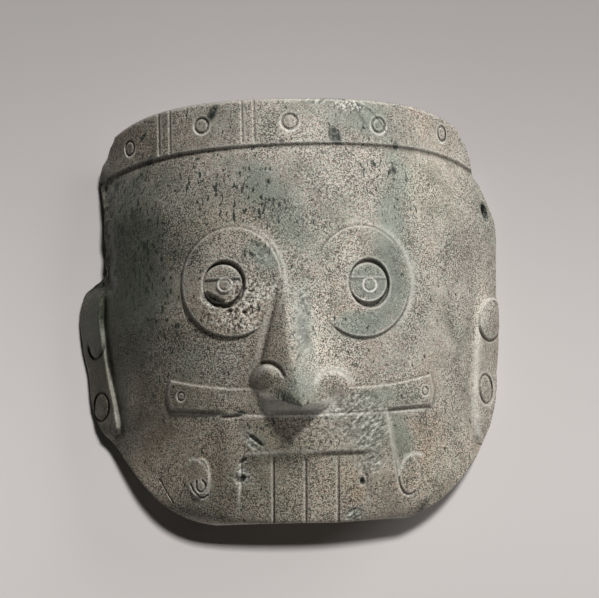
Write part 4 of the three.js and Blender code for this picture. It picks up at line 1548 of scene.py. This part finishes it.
    def build_back(self, parts: MeshParts, foot: Field, ring: Field) -> None:
        """Adds the flat rim and the hollow behind the face, closed by a fan at its deepest point.

        The rim runs straight from the foot to a quarter round lip. The hollow's loops lie at the sines of even
        angles, and pecking pushes them into the stone by noise.

        Args:
            parts: Mesh to add to.
            foot: Indices of the walls' foot.
            ring: Its points.
        """
        angle = np.arctan2(ring[:, 1] - self.hollow_middle, ring[:, 0])
        mouth = self.hollow_point(angle, 0.0)
        middle = np.array((0.0, self.hollow_middle, 0.0))
        outward = (mouth - middle) / np.linalg.norm(mouth - middle, axis=1, keepdims=True)
        lip = mouth + outward * self.lip_round
        previous = foot
        for share in (0.12, 0.32, 0.55, 0.78, 0.94, 1.0):
            loop = ring + (lip - ring) * share
            loop[:, 2] = 0.0
            previous = parts.next_loop(previous, loop, Finish.PECKED)
        for turn in (0.35, 0.7):
            loop = lip - outward * self.lip_round * math.sin(turn * math.pi / 2.0)
            loop[:, 2] = self.lip_round * (1.0 - math.cos(turn * math.pi / 2.0))
            previous = parts.next_loop(previous, loop, Finish.PECKED, 0.1, 0.3)
        for height in np.sin(np.linspace(0.03, 1.0, 20) * 0.5 * math.pi)[:-1]:
            keep = 1 if height < 0.93 else 2 if height < 0.985 else 4
            turn = angle[::keep]
            loop = self.hollow_point(turn, float(height))
            peck = self.noise.octaves(loop, 5.0, 3) * 0.45 + self.noise.octaves(loop, 14.0, 2) * 0.5
            away = loop - np.array((0.0, self.hollow_middle, 4.0))
            away /= np.linalg.norm(away, axis=1, keepdims=True)
            loop = loop - away * np.maximum(peck, -0.6)[:, None] * eased(0, 0.2, np.array(height))
            if len(loop) == len(previous):
                previous = parts.next_loop(previous, loop, Finish.PECKED, 0.35)
                continue
            index = parts.add(loop, 0.35)
            wide, slim = (np.arange(len(ends)) / len(ends) for ends in (previous, index))
            parts.triangles.append((zip_loops(previous, wide, index, slim), Finish.PECKED.value))
            previous = index
        deepest = self.hollow_depth
        pole = np.array([(0.0, self.hollow_middle + self.hollow_lean * deepest, deepest)])
        tip = parts.add(pole, 0.35)
        fan = np.stack((previous, np.roll(previous, -1), np.broadcast_to(tip, previous.shape)), axis=-1)
        parts.triangles.append((fan[:, ::-1], Finish.PECKED.value))

    def build(self) -> bpy.types.Object:
        """Makes the closed mesh and its object."""
        face = self.face_field()
        points = self.surface(face)
        hollows, ridges = self.turned_edges(points[..., 2] - face.ground, face.stretch)
        # Hollows of the carving are darkened too, as painted shade where less light falls.
        grime_and_shade = np.clip(np.maximum(face.grime_and_shade, 0.5 * hollows), 0, 1)
        grid = AdaptiveGrid(points, face.normal)
        parts = MeshParts()
        # Pale wear and painted highlights, with the pale of worn ridges.
        pale = np.clip(np.maximum(face.pale, np.maximum(face.worn, 0) * ridges), 0, 1)
        index, border = grid.mesh(parts, grid.fitted(self.face_cells), (grime_and_shade, pale))
        edge = points.reshape(-1, 3)[border]
        steps = np.linalg.norm(np.diff(np.concatenate((edge, edge[:1])), axis=0), axis=1)
        border_at = np.concatenate(([0.0], np.cumsum(steps)[:-1])) / steps.sum()
        used = index[border] >= 0
        foot, ring = self.build_walls(parts, index[border][used], edge, (border_at[used], border_at))
        self.build_back(parts, foot, ring)
        return self.assemble(parts)

    def assemble(self, parts: MeshParts) -> bpy.types.Object:
        """Puts the gathered points and faces into a mesh, kept inside the solid's box."""
        low, high = (np.array(corner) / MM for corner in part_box(NODE))
        points = np.clip(np.concatenate(parts.points), low + 0.001, high - 0.001)
        points[:, 2] = np.maximum(points[:, 2], 0)
        quads = np.concatenate([q for q, _ in parts.quads])
        triangles = np.concatenate([t for t, _ in parts.triangles])
        loops = np.concatenate((quads.ravel(), triangles.ravel())).astype(np.int32)
        starts = np.concatenate((np.arange(len(quads)) * 4, 4 * len(quads) + np.arange(len(triangles)) * 3))
        finish = np.concatenate([np.full(len(f), kind) for f, kind in (*parts.quads, *parts.triangles)])
        mesh = bpy.data.meshes.new("mask_stone")
        mesh.vertices.add(len(points))
        mesh.vertices.foreach_set("co", (points * MM).astype(np.float32).ravel())
        mesh.loops.add(len(loops))
        mesh.loops.foreach_set("vertex_index", loops)
        mesh.polygons.add(len(starts))
        mesh.polygons.foreach_set("loop_start", starts.astype(np.int32))
        mesh.polygons.foreach_set("material_index", finish.astype(np.int32))
        mesh.update(calc_edges=True)
        mesh.validate(verbose=False)
        for name, values in (("grime_and_shade", parts.grime_and_shade), ("wear", parts.wear)):
            attribute = mesh.attributes.new(name, "FLOAT", "POINT")
            attribute.data.foreach_set("value", np.concatenate(values).astype(np.float32))
        obj = bpy.data.objects.new("mask_stone", mesh)
        bpy.context.scene.collection.objects.link(obj)
        log.info("mask_stone: %d points, %d triangles", len(points), parts.triangle_count())
        self.hole.drill(obj)
        self.marks.paint(obj.data, self.noise, self.hole)
        obj.data.name = "mask_stone"
        obj.data.shade_smooth()
        return obj


# Finishes


class NodeBench:
    """Adds and links the nodes of one node tree."""

    def __init__(self, tree: bpy.types.NodeTree) -> None:
        """Takes an empty tree."""
        self.tree = tree

    def node(self, kind: str, **settings: object) -> bpy.types.Node:
        """Adds a node with its settings."""
        made = self.tree.nodes.new(kind)
        for name, value in settings.items():
            setattr(made, name, value)
        return made

    def feed(self, socket: Socket, value: object) -> None:
        """Links another socket to an input, or sets its plain value."""
        if isinstance(value, Socket):
            self.tree.links.new(value, socket)
        else:
            socket.default_value = value

    def math(self, operation: str, first: object, second: object = 0.0) -> Socket:
        """A Math node's result."""
        made = self.node("ShaderNodeMath", operation=operation)
        self.feed(made.inputs[0], first)
        self.feed(made.inputs[1], second)
        return made.outputs[0]

    def times(self, first: object, second: object) -> Socket:
        """The product of two values."""
        return self.math("MULTIPLY", first, second)

    def noise(self, place: object, scale: float, detail: float = 2.0, rough: float = 0.5,
              twist: float = 0.0) -> Socket:
        """A noise texture's value at a place."""
        made = self.node("ShaderNodeTexNoise")
        self.feed(made.inputs["Vector"], place)
        values = {"Scale": scale, "Detail": detail, "Roughness": rough, "Distortion": twist}
        for name, value in values.items():
            self.feed(made.inputs[name], value)
        return made.outputs["Fac"]

    def band(self, value: object, low: float, high: float) -> Socket:
        """Eases a value from 0 at low to 1 at high."""
        made = self.node("ShaderNodeMapRange", interpolation_type="SMOOTHSTEP")
        for name, number in (("Value", value), ("From Min", low), ("From Max", high)):
            self.feed(made.inputs[name], number)
        return made.outputs["Result"]

    def mix(self, share: object, first: object, second: object, blend: str = "MIX") -> Socket:
        """Mixes two colours by a share."""
        made = self.node("ShaderNodeMix", data_type="RGBA", blend_type=blend)
        self.feed(made.inputs["Factor"], share)
        self.feed(made.inputs[6], first)
        self.feed(made.inputs[7], second)
        return made.outputs[2]

    def attribute(self, name: str) -> Socket:
        """A value stored on the mesh."""
        return self.node("ShaderNodeAttribute", attribute_name=name).outputs["Fac"]

    def stretched(self, scale: tuple[float, float, float], turn: float = 0.0) -> Socket:
        """Object coordinates turned about Z by degrees, then stretched by a scale along each axis."""
        place = self.node("ShaderNodeTexCoord").outputs["Object"]
        made = self.node("ShaderNodeMapping")
        made.vector_type = "TEXTURE"
        self.feed(made.inputs["Vector"], place)
        self.feed(made.inputs["Rotation"], (0.0, 0.0, math.radians(turn)))
        self.feed(made.inputs["Scale"], tuple(1.0 / part for part in scale))
        return made.outputs["Vector"]


def shader_group(name: str, inputs: dict[str, str], outputs: dict[str, str]) -> bpy.types.NodeTree:
    """Starts a shader node group with named inputs and outputs of the given kinds."""
    group = bpy.data.node_groups.new(name, "ShaderNodeTree")
    for sockets, way in ((inputs, "INPUT"), (outputs, "OUTPUT")):
        for socket, kind in sockets.items():
            group.interface.new_socket(name=socket, in_out=way, socket_type=f"NodeSocket{kind}")
    return group


def grain_group() -> bpy.types.NodeTree:
    """Speckled grain of the stone, shared by its warm and its green parts.

    Two noises are summed round one half, and the sum runs from the dark colour over the body's to the pale
    one. A slow mottle shifts it lighter and darker.
    """
    group = shader_group("stone_grain",
                         {"Vector": "Vector", "Pale": "Color", "Body": "Color", "Dark": "Color",
                          "Contrast": "Float"},
                         {"Color": "Color", "Height": "Float", "Mottle": "Float"})
    bench = NodeBench(group)
    inputs = bench.node("NodeGroupInput").outputs
    place = inputs["Vector"]
    coarse = bench.noise(place, 900.0, 2.0, 0.6)
    speck = bench.noise(place, 2100.0, 1.0, 0.6)
    mottle = bench.noise(place, 75.0, 5.0, 0.64, 0.5)
    patch = bench.band(bench.noise(place, 52.0, 3.0, 0.6, 0.3), 0.36, 0.62)
    total = bench.math("ADD", bench.times(bench.math("SUBTRACT", speck, 0.5), 6.2),
                       bench.times(bench.math("SUBTRACT", coarse, 0.5), 2.0))
    strength = bench.times(inputs["Contrast"], bench.math("ADD", bench.times(patch, 0.85), 0.45))
    total = bench.math("ADD", bench.times(total, strength),
                       bench.times(bench.math("SUBTRACT", mottle, 0.5), 1.9))
    colour = bench.mix(bench.band(total, 0.0, 0.75), inputs["Body"], inputs["Pale"])
    colour = bench.mix(bench.band(total, 0.0, -0.8), colour, inputs["Dark"])
    height = bench.math("ADD", bench.times(speck, 0.6), bench.times(coarse, 0.6))
    outputs = bench.node("NodeGroupOutput").inputs
    bench.feed(outputs["Color"], colour)
    bench.feed(outputs["Height"], height)
    bench.feed(outputs["Mottle"], mottle)
    return group


@dataclass(frozen=True)
class StoneSurface:
    """What all finishes of the stone share: green parts, flecks, spots, splits, pits, worn edges, dirt,
    painted shade and painted highlights.
    """

    green_pale: Colour = (0.335, 0.355, 0.305, 1.0)
    green: Colour = (0.205, 0.224, 0.188, 1.0)
    green_dark: Colour = (0.085, 0.095, 0.08, 1.0)
    deep: Colour = (0.018, 0.026, 0.02, 1.0)
    # Dark colour of dirt, also laid as painted shade.
    dirt_and_shade: Colour = (0.034, 0.027, 0.019, 1.0)
    # Pale colour of wear, also laid as painted highlight.
    worn: Colour = (0.80, 0.78, 0.715, 1.0)
    # Tints over the colour: brown of the stone, and the painted shade and painted light of patches.
    tints: tuple[tuple[str, Colour], ...] = (
        ("brown", (0.95, 0.885, 0.80, 1.0)), ("painted_shade", (0.29, 0.307, 0.255, 1.0)),
        ("painted_light", (1.45, 1.42, 1.40, 1.0)),
    )

    def grain(self, bench: NodeBench, group: bpy.types.NodeTree, colours: tuple[object, object, object],
              contrast: object) -> bpy.types.Node:
        """Places the shared grain with a pale, a body and a dark colour."""
        made = bench.node("ShaderNodeGroup", node_tree=group)
        place = bench.node("ShaderNodeTexCoord").outputs["Object"]
        values = {"Vector": place, "Pale": colours[0], "Body": colours[1], "Dark": colours[2],
                  "Contrast": contrast}
        for name, value in values.items():
            bench.feed(made.inputs[name], value)
        return made

    def flecks(self, bench: NodeBench) -> Socket:
        """Dark flecks drawn out upwards: plenty where the stone is marked as flecked, and few elsewhere."""
        small = bench.noise(bench.stretched((1.0, 0.42, 1.0)), 900.0, 1.0, 0.55, 0.2)
        large = bench.noise(bench.stretched((1.0, 0.6, 1.0)), 430.0, 4.0, 0.66, 0.4)
        more = bench.times(bench.attribute("flecked"), 0.13)
        fine = bench.band(bench.math("ADD", small, bench.times(more, 0.85)), 0.69, 0.715)
        wide = bench.band(bench.math("ADD", large, more), 0.735, 0.755)
        return bench.math("MAXIMUM", fine, wide)

    def over(self, bench: NodeBench, colour: Socket, field: Socket,
             where: Socket,
             steps: tuple[tuple[float, float, float, Colour], ...]) -> Socket:
        """Lays colours over another where a field passes each step's low and high values, inside a mask."""
        for low, high, share, laid in steps:
            edge = bench.times(bench.band(field, low, high), bench.times(where, share))
            colour = bench.mix(edge, colour, laid)
        return colour

    def group(self) -> bpy.types.NodeTree:
        """Builds the shared group, which puts out the stone's colour, roughness and height."""
        group = shader_group("stone_surface",
                             {"Pale": "Color", "Body": "Color", "Dark": "Color", "Contrast": "Float",
                              "Roughness": "Float"},
                             {"Color": "Color", "Roughness": "Float", "Height": "Float"})
        bench = NodeBench(group)
        inputs = bench.node("NodeGroupInput").outputs
        place = bench.node("ShaderNodeTexCoord").outputs["Object"]
        shared = grain_group()
        warm = self.grain(bench, shared, (inputs["Pale"], inputs["Body"], inputs["Dark"]), inputs["Contrast"])
        cool = self.grain(bench, shared, (self.green_pale, self.green, self.green_dark),
                          bench.times(inputs["Contrast"], 0.62))
        drift = bench.times(bench.math("SUBTRACT", warm.outputs["Mottle"], 0.5), 1.3)
        green = bench.band(bench.math("ADD", bench.attribute("green"), drift), 0.1, 1.0)
        tint = bench.noise(place, 38.0, 4.0, 0.6, 0.3)
        speckle = bench.noise(place, 1250.0, 2.0, 0.6)
        colour = warm.outputs["Color"]
        for value, low, high, colour_to in (
                (speckle, 0.52, 0.64, (1.0, 0.90, 0.85, 1.0)), (speckle, 0.48, 0.38, (0.90, 1.0, 0.98, 1.0)),
                (tint, 0.5, 0.68, (1.0, 0.935, 0.905, 1.0)), (tint, 0.5, 0.34, (0.85, 0.885, 0.86, 1.0))):
            colour = bench.mix(bench.band(value, low, high), colour, colour_to, "MULTIPLY")
        colour = bench.mix(green, colour, cool.outputs["Color"])
        # Brown tint, painted shade and painted light multiply the colour.
        for name, tint_to in self.tints:
            colour = bench.mix(bench.attribute(name), colour, tint_to, "MULTIPLY")
        pits = bench.noise(place, 820.0, 3.0, 0.8)
        ragged = bench.math("ADD", bench.times(bench.band(pits, 0.40, 0.55), 0.4), 0.65)
        colour = bench.mix(bench.times(self.flecks(bench), 0.9), colour, self.deep)
        # Dark spots of the stone, and painted shade down the cord hole, take the deep colour.
        colour = bench.mix(bench.times(bench.attribute("spots_and_hole_shade"), ragged), colour, self.deep)
        split = bench.attribute("split")
        colour = bench.mix(bench.times(split, 0.55), colour, self.green)
        lines = bench.noise(bench.stretched((1.0, 3.6, 1.0), 38.0), 330.0, 4.0, 0.68)
        colour = self.over(bench, colour, lines, split,
                           ((0.535, 0.60, 0.7, self.worn), (0.49, 0.42, 0.85, self.green_dark)))
        # Pale wear and painted highlights from the mesh.
        wear = bench.times(bench.attribute("wear"), bench.times(ragged, 0.8))
        colour = bench.mix(wear, colour, self.worn)
        colour = self.over(bench, colour, pits, bench.attribute("pitted"),
                           ((0.52, 0.57, 0.85, self.worn), (0.47, 0.42, 1.0, self.dirt_and_shade)))
        # Dirt and painted shade from the mesh.
        colour = bench.mix(bench.times(bench.attribute("grime_and_shade"), 0.85), colour, self.dirt_and_shade)
        outputs = bench.node("NodeGroupOutput").inputs
        bench.feed(outputs["Color"], colour)
        bench.feed(outputs["Roughness"],
                   bench.math("SUBTRACT", inputs["Roughness"], bench.times(green, 0.14)))
        bench.feed(outputs["Height"], warm.outputs["Height"])
        return group


@dataclass(frozen=True)
class StoneFinish:
    """One finish of the stone: its colours, its grain's contrast, its roughness and its grain's depth."""

    name: str
    pale: Colour
    body: Colour
    dark: Colour
    contrast: float
    roughness: float
    bump: float

    def material(self, surface: bpy.types.NodeTree) -> bpy.types.Material:
        """Builds the material: the shared surface with this finish's colours, fed into one shader."""
        made = bpy.data.materials.new(self.name)
        made.use_nodes = True
        made.node_tree.nodes.clear()
        bench = NodeBench(made.node_tree)
        stone = bench.node("ShaderNodeGroup", node_tree=surface)
        values = {"Pale": self.pale, "Body": self.body, "Dark": self.dark, "Contrast": self.contrast,
                  "Roughness": self.roughness}
        for name, value in values.items():
            bench.feed(stone.inputs[name], value)
        height = bench.node("ShaderNodeBump")
        bench.feed(height.inputs["Height"], stone.outputs["Height"])
        height.inputs["Strength"].default_value = self.bump
        height.inputs["Distance"].default_value = GRAIN_DEPTH
        shader = bench.node("ShaderNodeBsdfPrincipled")
        bench.feed(shader.inputs["Base Color"], stone.outputs["Color"])
        bench.feed(shader.inputs["Roughness"], stone.outputs["Roughness"])
        bench.feed(shader.inputs["Normal"], height.outputs["Normal"])
        shader.inputs["Specular IOR Level"].default_value = SPECULAR
        output = bench.node("ShaderNodeOutputMaterial")
        made.node_tree.links.new(shader.outputs["BSDF"], output.inputs["Surface"])
        return made


CARVED_STONE = StoneFinish("carved_greenstone", (0.56, 0.522, 0.463, 1.0), (0.322, 0.297, 0.257, 1.0),
                           (0.10, 0.092, 0.078, 1.0), 1.1, 0.58, 0.6)
PECKED_STONE = StoneFinish("pecked_greenstone", (0.50, 0.472, 0.42, 1.0), (0.30, 0.282, 0.245, 1.0),
                           (0.11, 0.104, 0.089, 1.0), 1.1, 0.78, 0.8)


# Scene round the mask


@dataclass(frozen=True)
class Lamp:
    """One square area light: the way towards it, how far off it stands, its size, power and colour."""

    name: str
    direction: tuple[float, float, float]
    distance: float
    size: float
    power: float
    colour: tuple[float, float, float] = (1.0, 0.99, 0.97)


@dataclass(frozen=True)
class Studio:
    """The floor that the mask lies on, the lights and the camera straight over it."""

    distance: float = 1250.0
    aim: tuple[float, float, float] = (3.0, 7.3, 20.0)
    yaw: float = -3.5
    pitch: float = -5.0
    roll: float = -1.2
    pixels_focal: float = 3472.0
    sensor: float = 36.0
    floor_near: Colour = (0.61, 0.580, 0.572, 1.0)
    floor_middle: Colour = (0.64, 0.610, 0.603, 1.0)
    # Far colour, much darker: painted shade of the light's falloff across the floor.
    floor_far_painted_shade: Colour = (0.355, 0.336, 0.338, 1.0)
    floor_roughness: float = 0.85
    floor_gap: float = 0.0004
    floor_around: int = 64
    floor_radii: tuple[float, ...] = (0.05, 0.2, 0.6, 1.5, 3.0)
    near_full: float = -0.14
    middle_from: float = -0.07
    far_full: float = 0.17
    lamp_aim: float = 0.03
    world_colour: Colour = (0.95, 0.97, 1.0, 1.0)
    world_strength: float = 0.02
    mask_lamps: tuple[Lamp, ...] = (
        Lamp("key", (0.26, 0.70, 0.67), 2.0, 0.22, 42.5),
        Lamp("side", (0.86, 0.12, 0.50), 2.2, 0.7, 12.5),
        Lamp("fill", (0.30, -0.55, 0.78), 2.2, 1.2, 6.6),
    )
    floor_lamps: tuple[Lamp, ...] = (
        Lamp("floor_light", (0.025, 0.11, 0.99), 2.0, 0.12, 33.0),
        Lamp("floor_side", (0.60, 0.36, 0.72), 2.2, 1.0, 8.0),
    )

    def camera(self) -> None:
        """Sets the camera: back along the aim's direction, turned a little round its own axis."""
        yaw, pitch, roll = (math.radians(a) for a in (self.yaw, self.pitch, self.roll))
        back = Vector((math.sin(yaw) * math.cos(pitch), math.sin(pitch), math.cos(yaw) * math.cos(pitch)))
        right = Vector((0.0, 1.0, 0.0)).cross(back).normalized()
        up = back.cross(right)
        right, up = right * math.cos(roll) + up * math.sin(roll), up * math.cos(roll) - right * math.sin(roll)
        place = (Vector(self.aim) + back * self.distance) * MM
        data = bpy.data.cameras.new("camera")
        data.sensor_width = self.sensor
        data.lens = self.sensor * self.pixels_focal / IMAGE_WIDTH
        data.clip_end = 10.0
        obj = bpy.data.objects.new("camera", data)
        turn = Matrix((right, up, back)).transposed().to_4x4()
        obj.matrix_world = Matrix.Translation(place) @ turn
        bpy.context.scene.collection.objects.link(obj)
        bpy.context.scene.camera = obj

    def light(self, lamp: Lamp, lit: bpy.types.Object) -> None:
        """Adds a square area light that looks at the mask from a direction and lights one object alone."""
        data = bpy.data.lights.new(lamp.name, "AREA")
        data.size, data.energy, data.color = lamp.size, lamp.power, lamp.colour
        obj = bpy.data.objects.new(lamp.name, data)
        way = Vector(lamp.direction).normalized()
        place = way * lamp.distance + Vector((0.0, 0.0, self.lamp_aim))
        obj.matrix_world = Matrix.Translation(place) @ way.to_track_quat("Z", "Y").to_matrix().to_4x4()
        bpy.context.scene.collection.objects.link(obj)
        receivers = bpy.data.collections.new(f"lit_by_{lamp.name}")
        receivers.objects.link(lit)
        obj.light_linking.receiver_collection = receivers

    def lights(self, mask: bpy.types.Object, floor: bpy.types.Object) -> None:
        """Lights the mask from above and to the right, and the floor from the right, in a dim world."""
        for lamp in self.mask_lamps:
            self.light(lamp, mask)
        for lamp in self.floor_lamps:
            self.light(lamp, floor)
        world = bpy.data.worlds.new("studio")
        world.use_nodes = True
        background = world.node_tree.nodes["Background"]
        background.inputs["Color"].default_value = self.world_colour
        background.inputs["Strength"].default_value = self.world_strength
        bpy.context.scene.world = world
        bpy.context.scene.view_settings.view_transform = "Standard"

    def floor(self) -> bpy.types.Object:
        """Adds the pale floor: a flat disc of rings that reaches well past the camera's view, darkening
        towards +Y as painted shade of the light's falloff and a little towards -Y.
        """
        turn = np.linspace(0.0, 2.0 * math.pi, self.floor_around, endpoint=False)
        x, y = (np.outer(self.floor_radii, way) for way in (np.cos(turn), np.sin(turn)))
        plane = np.stack((x, y, np.full(x.shape, -self.floor_gap)), axis=-1).reshape(-1, 3)
        index = np.arange(len(plane)).reshape(x.shape)
        rings = [ring_quads(inner, outer) for inner, outer in zip(index[:-1], index[1:])]
        faces = np.concatenate(rings).tolist()
        mesh = bpy.data.meshes.new("floor")
        mesh.from_pydata(plane.tolist(), [], [*faces, index[0].tolist()])
        obj = bpy.data.objects.new("floor", mesh)
        bpy.context.scene.collection.objects.link(obj)
        made = bpy.data.materials.new("pale_floor")
        made.use_nodes = True
        bench = NodeBench(made.node_tree)
        shader = made.node_tree.nodes["Principled BSDF"]
        split = bench.node("ShaderNodeSeparateXYZ")
        bench.feed(split.inputs[0], bench.node("ShaderNodeTexCoord").outputs["Object"])
        y = split.outputs["Y"]
        # Painted shade: the floor darkens towards +Y, and a little towards -Y.
        far = bench.mix(bench.band(y, self.middle_from, self.far_full), self.floor_middle, self.floor_far_painted_shade)
        near = bench.mix(bench.band(y, self.middle_from, self.near_full), far, self.floor_near)
        bench.feed(shader.inputs["Base Color"], near)
        shader.inputs["Roughness"].default_value = self.floor_roughness
        obj.data.materials.append(made)
        return obj


def main() -> None:
    """Builds the camera, the mask and the stage, and reports each piece."""
    logging.basicConfig(level=logging.INFO, format="%(name)s: %(message)s")
    studio = Studio()
    studio.camera()
    mask = CarvedMask().build()
    surface = StoneSurface().group()
    for finish in (CARVED_STONE, PECKED_STONE):
        mask.data.materials.append(finish.material(surface))
    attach(mask, BODY)
    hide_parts(NODE)
    log.info("piece %s rides on %s", mask.name, BODY)
    studio.lights(mask, studio.floor())
    bpy.context.view_layer.update()


if __name__ == "__main__":
    main()
